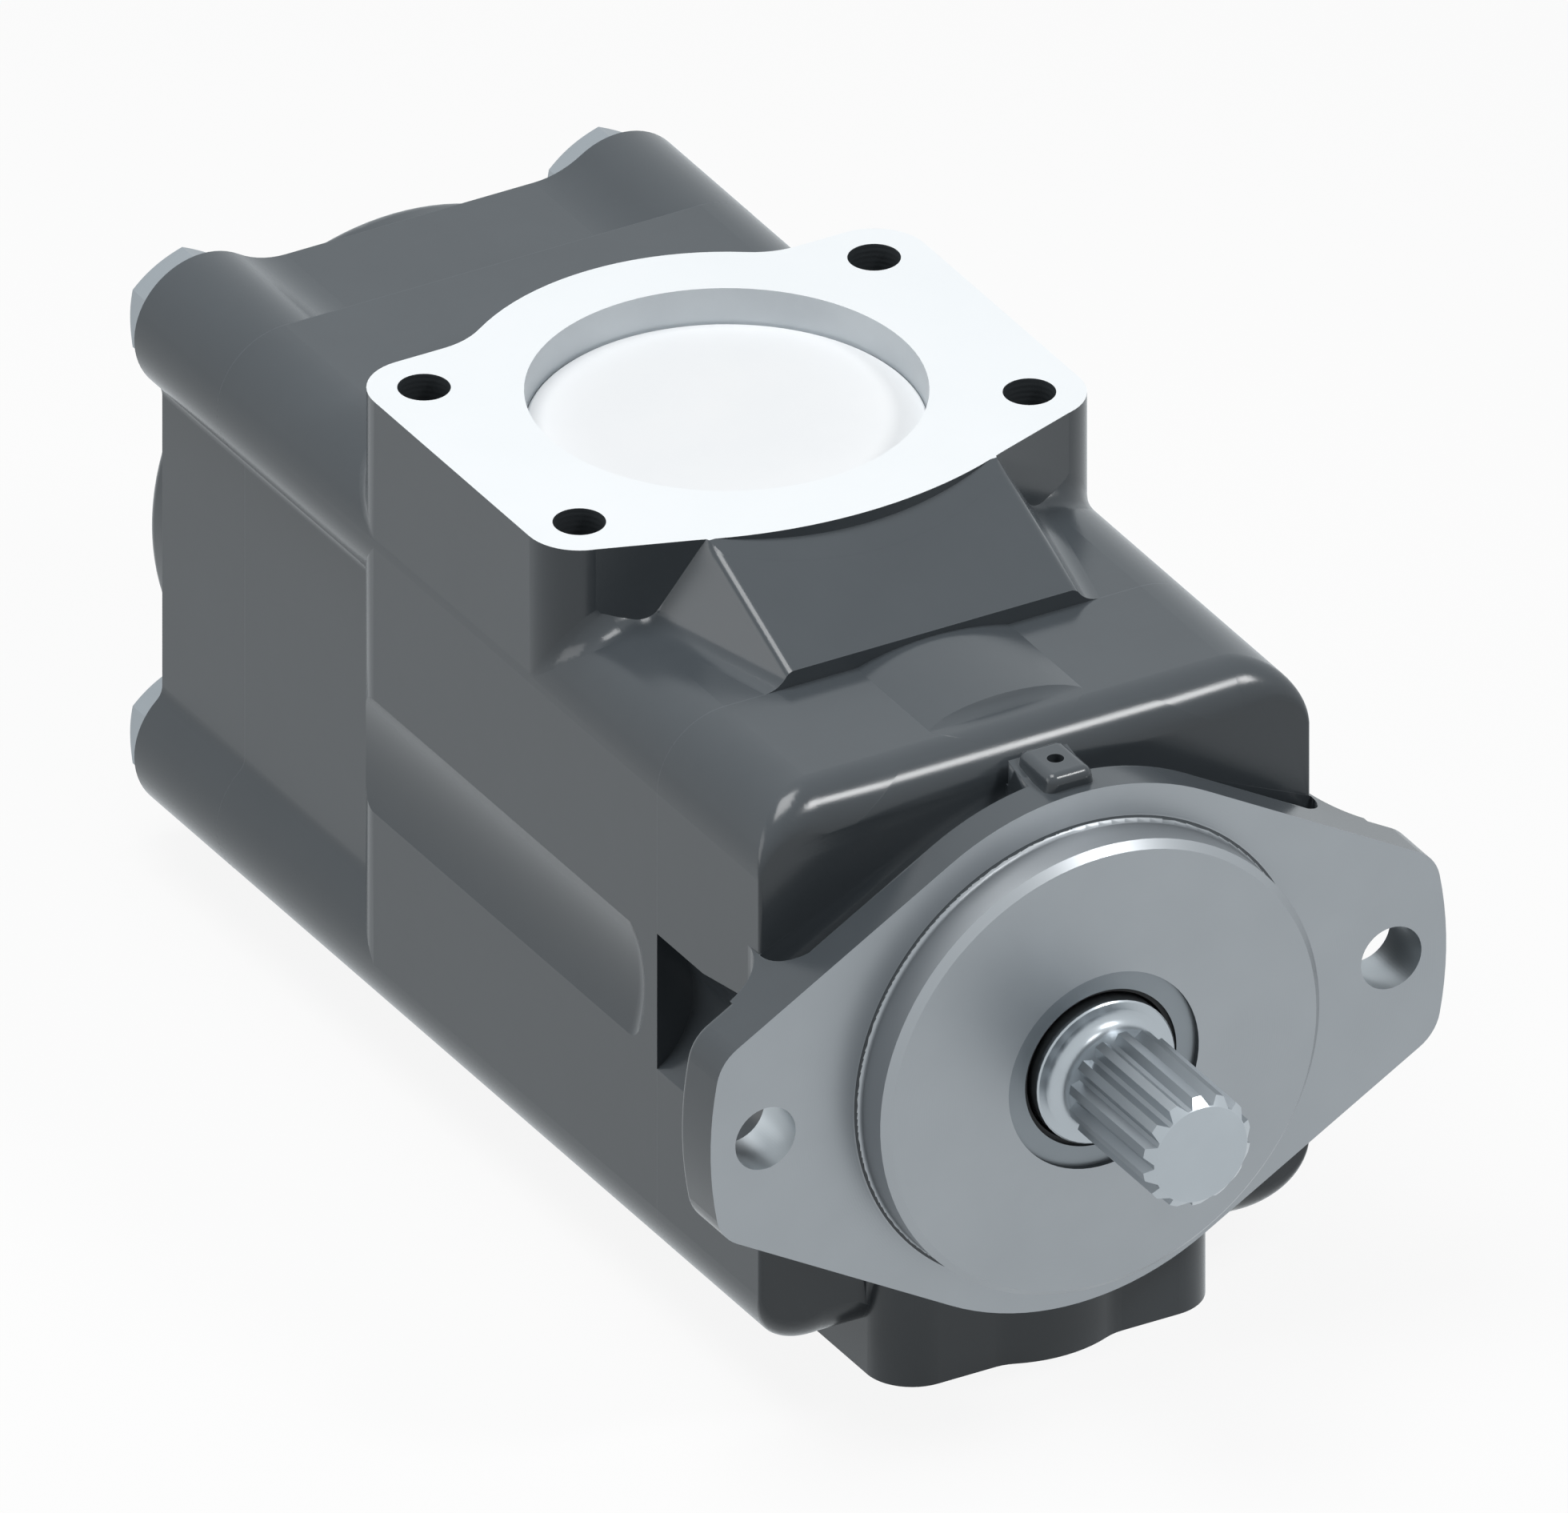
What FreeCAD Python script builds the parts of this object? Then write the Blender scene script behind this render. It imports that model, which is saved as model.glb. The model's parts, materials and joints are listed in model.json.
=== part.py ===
import FreeCAD, Part
import os
from math import asin, atan2, cos, pi, radians, sin, sqrt, tan

# Hydraulic vane pump with two cartridges on one shaft, in millimetres.
# The origin is the shaft axis at the front face of the mounting flange. The shaft points along -Y,
# the pump body lies along +Y, and the suction port opens upwards along +Z.
# Every size that can be set by itself stands below, written once. All other places follow from these.

# Two-bolt mounting flange and pilot
FLANGE_THICKNESS = 15.8
FLANGE_NECK_RADIUS = 73.7
FLANGE_EAR_BEYOND_BOLT = 15.9
FLANGE_EAR_SLOPE = 30.0
FLANGE_EAR_CORNER = 12.0
FLANGE_BOLT_SPACING = 181.0
FLANGE_BOLT_HOLE = 17.5
FLANGE_BACK_EDGE = 2.0
PILOT_RADIUS = 63.5
PILOT_LENGTH = 12.7
PILOT_CHAMFER = 2.0
PILOT_FOOT = 1.6
WRENCH_POCKET_RADIUS = 23.4
WRENCH_POCKET_BEYOND_BOLT = 2.0
WRENCH_RECESS_RADIUS = 26.0
WRENCH_RECESS_END = 32.0
WRENCH_RECESS_TAPER = 18.0

# Outside of the three castings
TIE_BOLT_OFFSET = 60.2
BOSS_RADIUS = 19.5
CAP_FRONT_WALL = 21.6
CAP_FRONT_EDGE = 11.6
CAP_SIDE_EDGE = 1.0
NECK_FILLET = 12.0
EAR_BACK_FILLET = 12.0
CAP_JOINT = 73.07
HOUSING_LENGTH = 220.53
REAR_CAP_LENGTH = 41.4
REAR_BOSS_RADIUS = 70.5
REAR_BOSS_LENGTH = 10.0
REAR_BOSS_EDGE = 4.0
WAIST_DEPTH = 8.1
VALLEY_HEIGHT = 72.5
VALLEY_FILLET = 25.0
WAIST_FILLET = 5.0
SIDE_CHANNEL_RADIUS = 45.8
SIDE_CHANNEL_DEPTH = 3.0
SIDE_CHANNEL_START = 2.0
SIDE_CHANNEL_RUNOUT = 12.0

# Blister over the front cartridge and the weep lug
BLISTER_RADIUS = 82.7
BLISTER_START = 37.0
BLISTER_EDGE = 15.0
LUG_START = 3.0
LUG_LENGTH = 17.0
LUG_BASE_WIDTH = 17.0
LUG_TOP_WIDTH = 12.0
LUG_TOP = 78.1
LUG_EDGE = 2.5
LUG_HOLE = 4.4
LUG_HOLE_DEPTH = 9.0

# Suction pad
SUCTION_CENTRE = 176.2
SUCTION_FACE = 102.4
SUCTION_PORT = 101.6
SUCTION_SEAT_DEPTH = 10.0
SUCTION_LEDGE = 4.8
SUCTION_SPACING_X = 130.2
SUCTION_SPACING_Y = 77.8
SUCTION_TAPPED_HOLE = 13.5
SUCTION_TAPPED_DEPTH = 26.0
SUCTION_PAD_INSET = 0.15
SUCTION_BULGE_RADIUS = 69.0
SUCTION_BULGE_BLEND = 22.0
CLOSURE_THICKNESS = 3.0
CLOSURE_EDGE = 0.6

# Sloped inlet throat in front of the suction pad
THROAT_HALF_WIDTH = 41.7
THROAT_TOE_RISE = 4.5
THROAT_SLOPE = 24.5
THROAT_DRAFT = 28.8
THROAT_SIDE_EDGE = 3.0
THROAT_WALL_FILLET = 16.0
FOOT_FILLET = 7.0

# Discharge pads: spacings, corner radii and bores of the front and the rear port
PORT_FACE = 91.9
FRONT_PORT_CENTRE = 40.7
FRONT_PORT_BORE = 38.0
FRONT_PORT_SPACING_X = 69.85
FRONT_PORT_SPACING_Y = 35.7
FRONT_PORT_CORNER = 13.0
FRONT_PORT_BULGE = 34.5
FRONT_PORT_TAP = 10.8
FRONT_PORT_TAP_DEPTH = 26.0
REAR_PORT_SETBACK = 16.0
REAR_PORT_BORE = 25.0
REAR_PORT_SPACING_X = 52.4
REAR_PORT_SPACING_Y = 26.2
REAR_PORT_CORNER = 11.0
REAR_PORT_BULGE = 26.0
REAR_PORT_TAP = 8.0
REAR_PORT_TAP_DEPTH = 22.0

# Tie bolts
TIE_BOLT_DIAMETER = 19.05
TIE_BOLT_THREAD_DEPTH = 35.0
TIE_BOLT_END_SPACE = 3.0
TIE_BOLT_CLEARANCE = 0.5
THREAD_CLEARANCE = 0.08
HEX_ACROSS_FLATS = 28.6
HEX_HEIGHT = 12.0
HEX_CHAMFER = 1.6
SPOT_FACE_RADIUS = 17.5

# Shaft
SPLINE_TEETH = 14
SPLINE_TIP_RADIUS = 15.6
SPLINE_PITCH_RADIUS = 14.82
SPLINE_ROOT_RADIUS = 13.5
SPLINE_TOOTH = 3.325
SPLINE_PRESSURE_ANGLE = 30.0
SPLINE_END = -61.5
SPLINE_START = -22.0
SPLINE_END_CHAMFER = 2.3
SHAFT_SEAL_RADIUS = 20.0
COLLAR_FACE = -14.2
COLLAR_FACE_WIDTH = 2.5
SHAFT_SHOULDER_RADIUS = 23.0
SHAFT_SHOULDER_LENGTH = 8.0
SHAFT_FRONT_RADIUS = 18.9
SHAFT_MIDDLE_RADIUS = 16.4
SHAFT_REAR_RADIUS = 13.9
SHAFT_STEP_CHAMFER = 0.8
FRONT_ROTOR_SPLINE_TEETH = 18
REAR_ROTOR_SPLINE_TEETH = 16
ROTOR_SPLINE_DEPTH = 1.6
SPLINE_CLEARANCE = 0.05

# Shaft seal
SEAL_OUTER_RADIUS = 27.5
SEAL_WIDTH = 8.0
SEAL_RECESS = 1.5
SEAL_WALL = 1.1
SEAL_CASE_INNER_RADIUS = 21.9
SEAL_LIP_GAP = 0.15
SEAL_LIP_THICKNESS = 0.6
SEAL_LIP_REACH = 1.2
SEAL_CONTACT_SHARE = 0.66
SEAL_SHOULDER_RADIUS = 24.5
GARTER_WIRE_RADIUS = 0.8

# Ball bearings: bore radius, outside radius, width, ball radius and number of balls
FRONT_BEARING_START = 2.0
FRONT_BEARING_OUTER = 40.0
FRONT_BEARING_WIDTH = 18.0
FRONT_BALL_RADIUS = 6.0
FRONT_BALLS = 9
REAR_BEARING_BORE = 12.5
REAR_BEARING_OUTER = 26.0
REAR_BEARING_WIDTH = 15.0
REAR_BALL_RADIUS = 4.0
REAR_BALLS = 9
BALL_CLEARANCE = 0.12
RACE_SHOULDER = 0.45
CAGE_THICKNESS = 2.4
CAGE_RIM = 1.0
RING_FIT = 0.02
CIRCLIP_WIDTH = 2.0
CIRCLIP_BITE = 1.7
CIRCLIP_GROOVE_CLEARANCE = 0.1
BORE_CIRCLIP_GAP = 9.0
SHAFT_CIRCLIP_GAP = 5.0

# Front and rear cartridge
VANES = 10
FRONT_PLATE_START = 60.2
FRONT_PLATE_THICKNESS = 15.8
FRONT_CAM_WIDTH = 38.0
FRONT_INLET_PLATE = 12.0
FRONT_CARTRIDGE_BORE = 62.0
FRONT_CAM_MINOR = 36.0
FRONT_CAM_MAJOR = 42.0
FRONT_VANE_LENGTH = 11.0
REAR_INLET_PLATE = 12.0
REAR_CAM_WIDTH = 30.0
REAR_PLATE_THICKNESS = 15.0
REAR_PLATE_SETBACK = 10.6
REAR_CARTRIDGE_BORE = 56.0
REAR_CAM_MINOR = 30.0
REAR_CAM_MAJOR = 35.0
REAR_VANE_LENGTH = 9.5
CARTRIDGE_CLEARANCE = 0.3
ROTOR_GAP = 0.5
ROTOR_SIDE_GAP = 0.1
VANE_THICKNESS = 2.3
VANE_SLOT_GAP = 0.1
VANE_TIP_GAP = 0.1
VANE_TIP_BEVEL = 0.6
UNDER_VANE_HOLE = 1.9
KIDNEY_WIDTH = 5.5
KIDNEY_SPAN = 38.0
PIN_CIRCLE_INSET = 9.5
DOWEL_RADIUS = 3.0
DOWEL_DEPTH = 6.0
CARTRIDGE_SCREW_RADIUS = 2.5
CARTRIDGE_SCREW_HEAD = 4.2
CARTRIDGE_SCREW_HEAD_HEIGHT = 4.6
CARTRIDGE_SCREW_BITE = 10.0
SMALL_CLEARANCE = 0.1
PLATE_SEAL_RADIUS = 1.3
PLATE_BORE_CLEARANCE = 1.5

# Chambers and O-rings of the castings
FRONT_CHAMBER_RADIUS = 50.0
FRONT_CHAMBER_START = 27.0
GALLERY_RADIUS = 54.0
REAR_CHAMBER_RADIUS = 45.0
REAR_CHAMBER_DEPTH = 22.5
REAR_END_SPACE = 3.5
REAR_END_RADIUS = 20.0
CAP_ORING_WIRE = 1.7
CAP_ORING_WALL = 3.0
ORING_CLEARANCE = 0.2

# Places that follow from the sizes above
HALF_BODY = TIE_BOLT_OFFSET + BOSS_RADIUS
WAIST_HALF_WIDTH = HALF_BODY - WAIST_DEPTH
REAR_JOINT = CAP_JOINT + HOUSING_LENGTH
THROAT_TOE_HEIGHT = HALF_BODY + THROAT_TOE_RISE
BODY_END = REAR_JOINT + REAR_CAP_LENGTH
REAR_PORT_CENTRE = BODY_END - REAR_PORT_SETBACK
SEAL_START = SEAL_RECESS - PILOT_LENGTH
SEAL_END = SEAL_START + SEAL_WIDTH
FRONT_BEARING_END = FRONT_BEARING_START + FRONT_BEARING_WIDTH
FRONT_CAM_START = FRONT_PLATE_START + FRONT_PLATE_THICKNESS
FRONT_CAM_END = FRONT_CAM_START + FRONT_CAM_WIDTH
GALLERY_START = FRONT_CAM_END + FRONT_INLET_PLATE
REAR_CAM_END = REAR_JOINT - REAR_PLATE_SETBACK - REAR_PLATE_THICKNESS
REAR_CAM_START = REAR_CAM_END - REAR_CAM_WIDTH
GALLERY_END = REAR_CAM_START - REAR_INLET_PLATE
REAR_BEARING_END = REAR_JOINT + REAR_CHAMBER_DEPTH + REAR_BEARING_WIDTH + CIRCLIP_WIDTH
REAR_BEARING_START = REAR_BEARING_END - REAR_BEARING_WIDTH
SUCTION_FLOOR = SUCTION_FACE - SUCTION_SEAT_DEPTH
CORNERS = [(x, z) for x in (-TIE_BOLT_OFFSET, TIE_BOLT_OFFSET) for z in (-TIE_BOLT_OFFSET, TIE_BOLT_OFFSET)]
SIDES = (-1, 1)
FAR = 400.0

Vector = FreeCAD.Vector
ORIGIN = Vector(0, 0, 0)
ALONG_X = Vector(1, 0, 0)
ALONG_Y = Vector(0, 1, 0)
ALONG_Z = Vector(0, 0, 1)


def cylinder_y(radius, start, end, x=0, z=0):
    """Round bar along the shaft's direction."""
    return Part.makeCylinder(radius, end - start, Vector(x, start, z), ALONG_Y)


def cylinder_z(radius, bottom, top, x=0, y=0):
    """Upright round bar."""
    return Part.makeCylinder(radius, top - bottom, Vector(x, y, bottom), ALONG_Z)


def tube_y(outer, inner, start, end):
    """Tube along the shaft's direction."""
    return cylinder_y(outer, start, end).cut(cylinder_y(inner, start, end))


def block(x_range, y_range, z_range):
    """Box from its three ranges."""
    (x0, x1), (y0, y1), (z0, z1) = x_range, y_range, z_range
    return Part.makeBox(x1 - x0, y1 - y0, z1 - z0, Vector(x0, y0, z0))


def outline(points):
    """Closed wire. A step is a corner, or a pair of a point on the arc and the arc's end."""
    edges = []
    here = points[0]
    for step in points[1:] + [points[0]]:
        if isinstance(step, tuple):
            through, there = step
            edges.append(Part.Arc(here, through, there).toShape())
        else:
            there = step
            if (there - here).Length > 1e-6:
                edges.append(Part.LineSegment(here, there).toShape())
        here = there
    return Part.Wire(edges)


def turned(profile):
    """Solid turned about the shaft axis. A step is (radius, y), or a pair of such steps for an arc."""
    points = []
    for step in profile:
        if isinstance(step[0], tuple):
            points.append(tuple(Vector(radius, y, 0) for radius, y in step))
        else:
            points.append(Vector(step[0], step[1], 0))
    return Part.Face(outline(points)).revolve(ORIGIN, ALONG_Y, 360)


def fused(shapes):
    """One clean solid out of several."""
    first, *rest = shapes
    return first.multiFuse(rest).removeSplitter()


def cut_away(solid, tools):
    """The solid without the tools' space."""
    return solid.cut(list(tools))


def rounded(solid, radius, chosen):
    """The solid with a fillet on each edge that the test picks."""
    return solid.makeFillet(radius, [edge for edge in solid.Edges if chosen(edge)])


def runs_along(edge, direction):
    """Is this a straight edge in that direction?"""
    if not isinstance(edge.Curve, Part.Line):
        return False
    return abs(edge.Curve.Direction.dot(direction)) > 0.999


def lies_at_y(edge, y):
    """Does the whole edge lie at that place along the shaft?"""
    return max(abs(edge.BoundBox.YMin - y), abs(edge.BoundBox.YMax - y)) < 1e-4


def turn_about_shaft(shape, angle):
    """Copy turned about the shaft axis from +Z towards +X, in degrees."""
    copy = shape.copy()
    copy.rotate(ORIGIN, ALONG_Y, angle)
    return copy


def on_circle(radius, angle):
    """X and Z of a point on a circle about the shaft, counted from +Z towards +X in degrees."""
    return radius * sin(radians(angle)), radius * cos(radians(angle))


def rounded_rectangle(half_x, half_y, corner, centre_y, bottom, top):
    """Upright slab with rounded corners, centred on x = 0."""
    slab = block((-half_x, half_x), (centre_y - half_y, centre_y + half_y), (bottom, top))
    return rounded(slab, corner, lambda edge: runs_along(edge, ALONG_Z))


def port_pad(spacing_x, spacing_y, corner, bulge, blend, centre_y, bottom, top):
    """Slab of a flanged port: a rounded rectangle round its four holes, with a round bulge at the port."""
    half_x = spacing_x / 2 + corner
    half_y = spacing_y / 2 + corner
    slab = rounded_rectangle(half_x, half_y, corner, centre_y, bottom, top)
    pad = fused([slab, cylinder_z(bulge, bottom, top, 0, centre_y)])
    across = sqrt(bulge ** 2 - half_y ** 2)

    def is_notch(edge):
        middle = edge.CenterOfMass
        beside = abs(abs(middle.x) - across) < 0.01
        return runs_along(edge, ALONG_Z) and beside and abs(abs(middle.y - centre_y) - half_y) < 0.01

    return rounded(pad, blend, is_notch)


def tapped_holes(spacing_x, spacing_y, diameter, centre_y, bottom, top):
    """Four blind holes of a flanged port."""
    return [cylinder_z(diameter / 2, bottom, top, x * spacing_x / 2, centre_y + y * spacing_y / 2)
            for x in SIDES for y in SIDES]


def spline_bar(teeth, tip, pitch, root, tooth, start, end, grow=0.0):
    """Bar with straight-flanked teeth. To grow it makes the space that such a bar fits."""
    slope = tan(radians(SPLINE_PRESSURE_ANGLE))
    tip, root = tip + grow, root + grow

    def half_angle(radius):
        return asin((tooth / 2 + grow - (radius - pitch) * slope) / radius)

    def at(radius, angle):
        return Vector(radius * sin(angle), start, radius * cos(angle))

    step = 2 * pi / teeth
    points = [at(root, -half_angle(root))]
    for number in range(teeth):
        middle = number * step
        points.append(at(tip, middle - half_angle(tip)))
        points.append((at(tip, middle), at(tip, middle + half_angle(tip))))
        points.append(at(root, middle + half_angle(root)))
        points.append((at(root, middle + step / 2), at(root, middle + step - half_angle(root))))
    return Part.Face(outline(points)).extrude(Vector(0, end - start, 0))


# Mounting cap

def ear_prism(start, end):
    """The flange's outline: a round neck with straight edges that run out to two ears."""
    slope = radians(FLANGE_EAR_SLOPE)
    reach = FLANGE_NECK_RADIUS
    touch_x, touch_z = reach * sin(slope), reach * cos(slope)
    apex = reach / sin(slope)
    points = [Vector(touch_x, start, touch_z), Vector(apex, start, 0), Vector(touch_x, start, -touch_z),
              Vector(-touch_x, start, -touch_z), Vector(-apex, start, 0), Vector(-touch_x, start, touch_z)]
    wedge = Part.Face(outline(points)).extrude(Vector(0, end - start, 0))
    ear_reach = FLANGE_BOLT_SPACING / 2 + FLANGE_EAR_BEYOND_BOLT
    plate = fused([wedge, cylinder_y(reach, start, end)]).common(cylinder_y(ear_reach, start, end))

    def is_ear_corner(edge):
        return runs_along(edge, ALONG_Y) and abs(edge.CenterOfMass.x) > FLANGE_BOLT_SPACING / 2

    return rounded(plate, FLANGE_EAR_CORNER, is_ear_corner)


def body_prism(start, end):
    """The castings' rounded square section."""
    slab = block((-HALF_BODY, HALF_BODY), (start, end), (-HALF_BODY, HALF_BODY))
    return rounded(slab, BOSS_RADIUS, lambda edge: runs_along(edge, ALONG_Y))


def arc_between(centre, radius, start, end):
    """Point half way along the shorter arc from start to end, in a flat frame."""
    a = atan2(start[1] - centre[1], start[0] - centre[0])
    b = atan2(end[1] - centre[1], end[0] - centre[0])
    half = ((b - a + pi) % (2 * pi) - pi) / 2
    return centre[0] + radius * cos(a + half), centre[1] + radius * sin(a + half)


def neck_profile(reach):
    """Side of the round neck: the rim, then a hollow fillet to the cap's front wall, as (distance, y)."""
    rim_end = CAP_FRONT_WALL - NECK_FILLET
    foot = (reach + NECK_FILLET, CAP_FRONT_WALL)
    middle = arc_between((reach + NECK_FILLET, rim_end), NECK_FILLET, (reach, rim_end), foot)
    back = CAP_FRONT_WALL + CAP_FRONT_EDGE
    return [(0, 0), (reach, 0), (reach, rim_end), (middle, foot), (foot[0], back), (0, back)]


def edge_of_neck(side_x, side_z):
    """Straight neck along one edge of an ear. Its hollow fillet ends round at the cap's side."""
    slope = radians(FLANGE_EAR_SLOPE)
    reach = FLANGE_NECK_RADIUS
    outwards = Vector(side_x * sin(slope), 0, side_z * cos(slope))
    along = Vector(side_x * cos(slope), 0, -side_z * sin(slope))
    rim_end = CAP_FRONT_WALL - NECK_FILLET
    foot = (reach + NECK_FILLET, CAP_FRONT_WALL)
    middle = arc_between((reach + NECK_FILLET, rim_end), NECK_FILLET, (reach, rim_end), foot)

    def at(distance, y, run=0):
        return outwards * distance + ALONG_Y * y + along * run

    back = CAP_FRONT_WALL + CAP_FRONT_EDGE
    side_run = (HALF_BODY + EAR_BACK_FILLET - reach * sin(slope)) / cos(slope)
    wall = outline([at(0, 0), at(reach, 0), at(reach, back), at(0, back)])
    slab = Part.Face(wall).extrude(along * side_run)
    hollow_run = (HALF_BODY - reach * sin(slope)) / cos(slope) - NECK_FILLET
    straight = outline([at(reach - 1, rim_end), at(reach, rim_end), (at(*middle), at(*foot)),
                        at(foot[0], back), at(reach - 1, back)])
    hollow = Part.Face(straight).extrude(along * hollow_run)
    end = outline([at(reach - 1, CAP_FRONT_WALL, hollow_run), at(reach - 1, rim_end, hollow_run),
                   at(reach, rim_end, hollow_run), (at(*middle, hollow_run), at(*foot, hollow_run))])
    round_end = Part.Face(end).revolve(at(reach, CAP_FRONT_WALL, hollow_run), outwards, 360)
    return fused([slab, hollow, round_end])


def top_limit():
    """Space under the hollow sweep that runs from the flange rim up onto the cap's rounded top edge."""
    edge_y = CAP_FRONT_WALL + CAP_FRONT_EDGE
    edge_z = HALF_BODY - CAP_FRONT_EDGE
    rim_y = CAP_FRONT_WALL - NECK_FILLET
    rise = FLANGE_NECK_RADIUS - edge_z
    run = edge_y - rim_y
    hollow = (run ** 2 + rise ** 2 - CAP_FRONT_EDGE ** 2) / (2 * (CAP_FRONT_EDGE - rise))
    centre = (rim_y, FLANGE_NECK_RADIUS + hollow)
    share = CAP_FRONT_EDGE / (CAP_FRONT_EDGE + hollow)
    touch = (edge_y + (centre[0] - edge_y) * share, edge_z + (centre[1] - edge_z) * share)
    middle = arc_between(centre, hollow, (rim_y, FLANGE_NECK_RADIUS), touch)

    def at(y, z):
        return Vector(-FAR / 2, y, z)

    points = [at(0, 0), at(0, FLANGE_NECK_RADIUS), at(rim_y, FLANGE_NECK_RADIUS), (at(*middle), at(*touch)),
              at(touch[0], 0)]
    upper = Part.Face(outline(points)).extrude(ALONG_X * FAR)
    return fused([upper, upper.mirror(ORIGIN, ALONG_Z)])


def side_limit():
    """Space inside the hollow fillet between the back of an ear and the cap's side."""
    centre = (HALF_BODY + EAR_BACK_FILLET, FLANGE_THICKNESS + EAR_BACK_FILLET)
    start = (centre[0], FLANGE_THICKNESS)
    touch = (HALF_BODY, centre[1])
    middle = arc_between(centre, EAR_BACK_FILLET, start, touch)

    def at(x, y):
        return Vector(x, y, -FAR / 2)

    points = [at(0, 0), at(FAR / 2, 0), at(FAR / 2, FLANGE_THICKNESS), at(*start), (at(*middle), at(*touch)),
              at(HALF_BODY, CAP_JOINT), at(0, CAP_JOINT)]
    right = Part.Face(outline(points)).extrude(ALONG_Z * FAR)
    return fused([right, right.mirror(ORIGIN, ALONG_X)])


def neck():
    """The flange's neck with its hollow fillets onto the cap's front wall and the ears' backs."""
    edges = [edge_of_neck(x, z) for x in SIDES for z in SIDES]
    core = fused([turned(neck_profile(FLANGE_NECK_RADIUS))] + edges)
    return core.common(top_limit()).common(side_limit())


def flange():
    """The mounting flange with its rounded back edge."""
    plate = ear_prism(0, FLANGE_THICKNESS)
    return rounded(plate, FLANGE_BACK_EDGE, lambda edge: lies_at_y(edge, FLANGE_THICKNESS))


def pilot():
    """The pilot with its chamfer and its hollow foot."""
    mouth = -PILOT_LENGTH
    foot = PILOT_RADIUS + PILOT_FOOT
    bend = arc_between((foot, -PILOT_FOOT), PILOT_FOOT, (PILOT_RADIUS, -PILOT_FOOT), (foot, 0))
    return turned([(0, mouth), (PILOT_RADIUS - PILOT_CHAMFER, mouth), (PILOT_RADIUS, mouth + PILOT_CHAMFER),
                   (PILOT_RADIUS, -PILOT_FOOT), (bend, (foot, 0)), (foot, 1), (0, 1)])


def cap_corner(side_x, side_z):
    """Corner of the cap's box. The rounding of its front edge fades from the top edge's to the side's."""
    axis_x, axis_z = side_x * TIE_BOLT_OFFSET, side_z * TIE_BOLT_OFFSET
    quarter = block(sorted([axis_x, side_x * HALF_BODY]), (CAP_FRONT_WALL, CAP_JOINT),
                    sorted([axis_z, side_z * HALF_BODY]))
    corner = cylinder_y(BOSS_RADIUS, CAP_FRONT_WALL, CAP_JOINT, axis_x, axis_z).common(quarter)
    rim = [edge for edge in corner.Edges
           if lies_at_y(edge, CAP_FRONT_WALL) and not isinstance(edge.Curve, Part.Line)]
    first = rim[0].firstVertex(True).Point
    radii = (CAP_FRONT_EDGE, CAP_SIDE_EDGE)
    if abs(first.x - axis_x) > 1:
        radii = (CAP_SIDE_EDGE, CAP_FRONT_EDGE)
    return corner.makeFillet(*radii, rim)


def cap_box():
    """The cap's box. Its front edge is well rounded at the top and bottom and nearly sharp at the sides."""
    across = (-TIE_BOLT_OFFSET, TIE_BOLT_OFFSET)
    middle = block(across, (CAP_FRONT_WALL, CAP_JOINT), (-HALF_BODY, HALF_BODY))

    def is_long_rim(edge):
        return lies_at_y(edge, CAP_FRONT_WALL) and runs_along(edge, ALONG_X)

    pieces = [rounded(middle, CAP_FRONT_EDGE, is_long_rim)]
    for x in SIDES:
        ends = sorted([x * TIE_BOLT_OFFSET, x * HALF_BODY])
        side = block(ends, (CAP_FRONT_WALL, CAP_JOINT), across)
        pieces.append(rounded(side, CAP_SIDE_EDGE, lambda edge: lies_at_y(edge, CAP_FRONT_WALL)
                              and abs(edge.CenterOfMass.x) > HALF_BODY - 1))
        pieces += [cap_corner(x, z) for z in SIDES]
    return fused(pieces)


def blister():
    """Shallow round swelling on top of the cap, over the cartridge."""
    toe = BLISTER_START - BLISTER_EDGE
    centre = (BLISTER_RADIUS - BLISTER_EDGE, BLISTER_START)
    bend = arc_between(centre, BLISTER_EDGE, (centre[0], toe), (BLISTER_RADIUS, BLISTER_START))
    swelling = turned([(0, toe), (centre[0], toe), (bend, (BLISTER_RADIUS, BLISTER_START)),
                       (BLISTER_RADIUS, CAP_JOINT), (0, CAP_JOINT)])
    return swelling.common(block((-HALF_BODY, HALF_BODY), (CAP_FRONT_WALL, CAP_JOINT), (0, FAR)))


def weep_lug():
    """Cast lug on the neck with the weep hole in its top."""
    foot = FLANGE_NECK_RADIUS - FLANGE_BACK_EDGE - 2 * LUG_EDGE
    points = [Vector(-LUG_BASE_WIDTH / 2, LUG_START, foot), Vector(LUG_BASE_WIDTH / 2, LUG_START, foot),
              Vector(LUG_TOP_WIDTH / 2, LUG_START, LUG_TOP), Vector(-LUG_TOP_WIDTH / 2, LUG_START, LUG_TOP)]
    lug = Part.Face(outline(points)).extrude(ALONG_Y * LUG_LENGTH)
    return rounded(lug, LUG_EDGE, lambda edge: edge.BoundBox.ZMax > LUG_TOP - 0.01)


def wrench_pocket(x):
    """Room for the head of a flange bolt: a round pocket, a little wider behind the ear."""
    taper_end = WRENCH_RECESS_END + WRENCH_RECESS_TAPER
    cone = Part.makeCone(WRENCH_RECESS_RADIUS, WRENCH_POCKET_RADIUS, WRENCH_RECESS_TAPER,
                         Vector(x, WRENCH_RECESS_END, 0), ALONG_Y)
    return [cylinder_y(WRENCH_RECESS_RADIUS, FLANGE_THICKNESS, WRENCH_RECESS_END, x), cone,
            cylinder_y(WRENCH_POCKET_RADIUS, taper_end, CAP_JOINT, x)]


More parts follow.
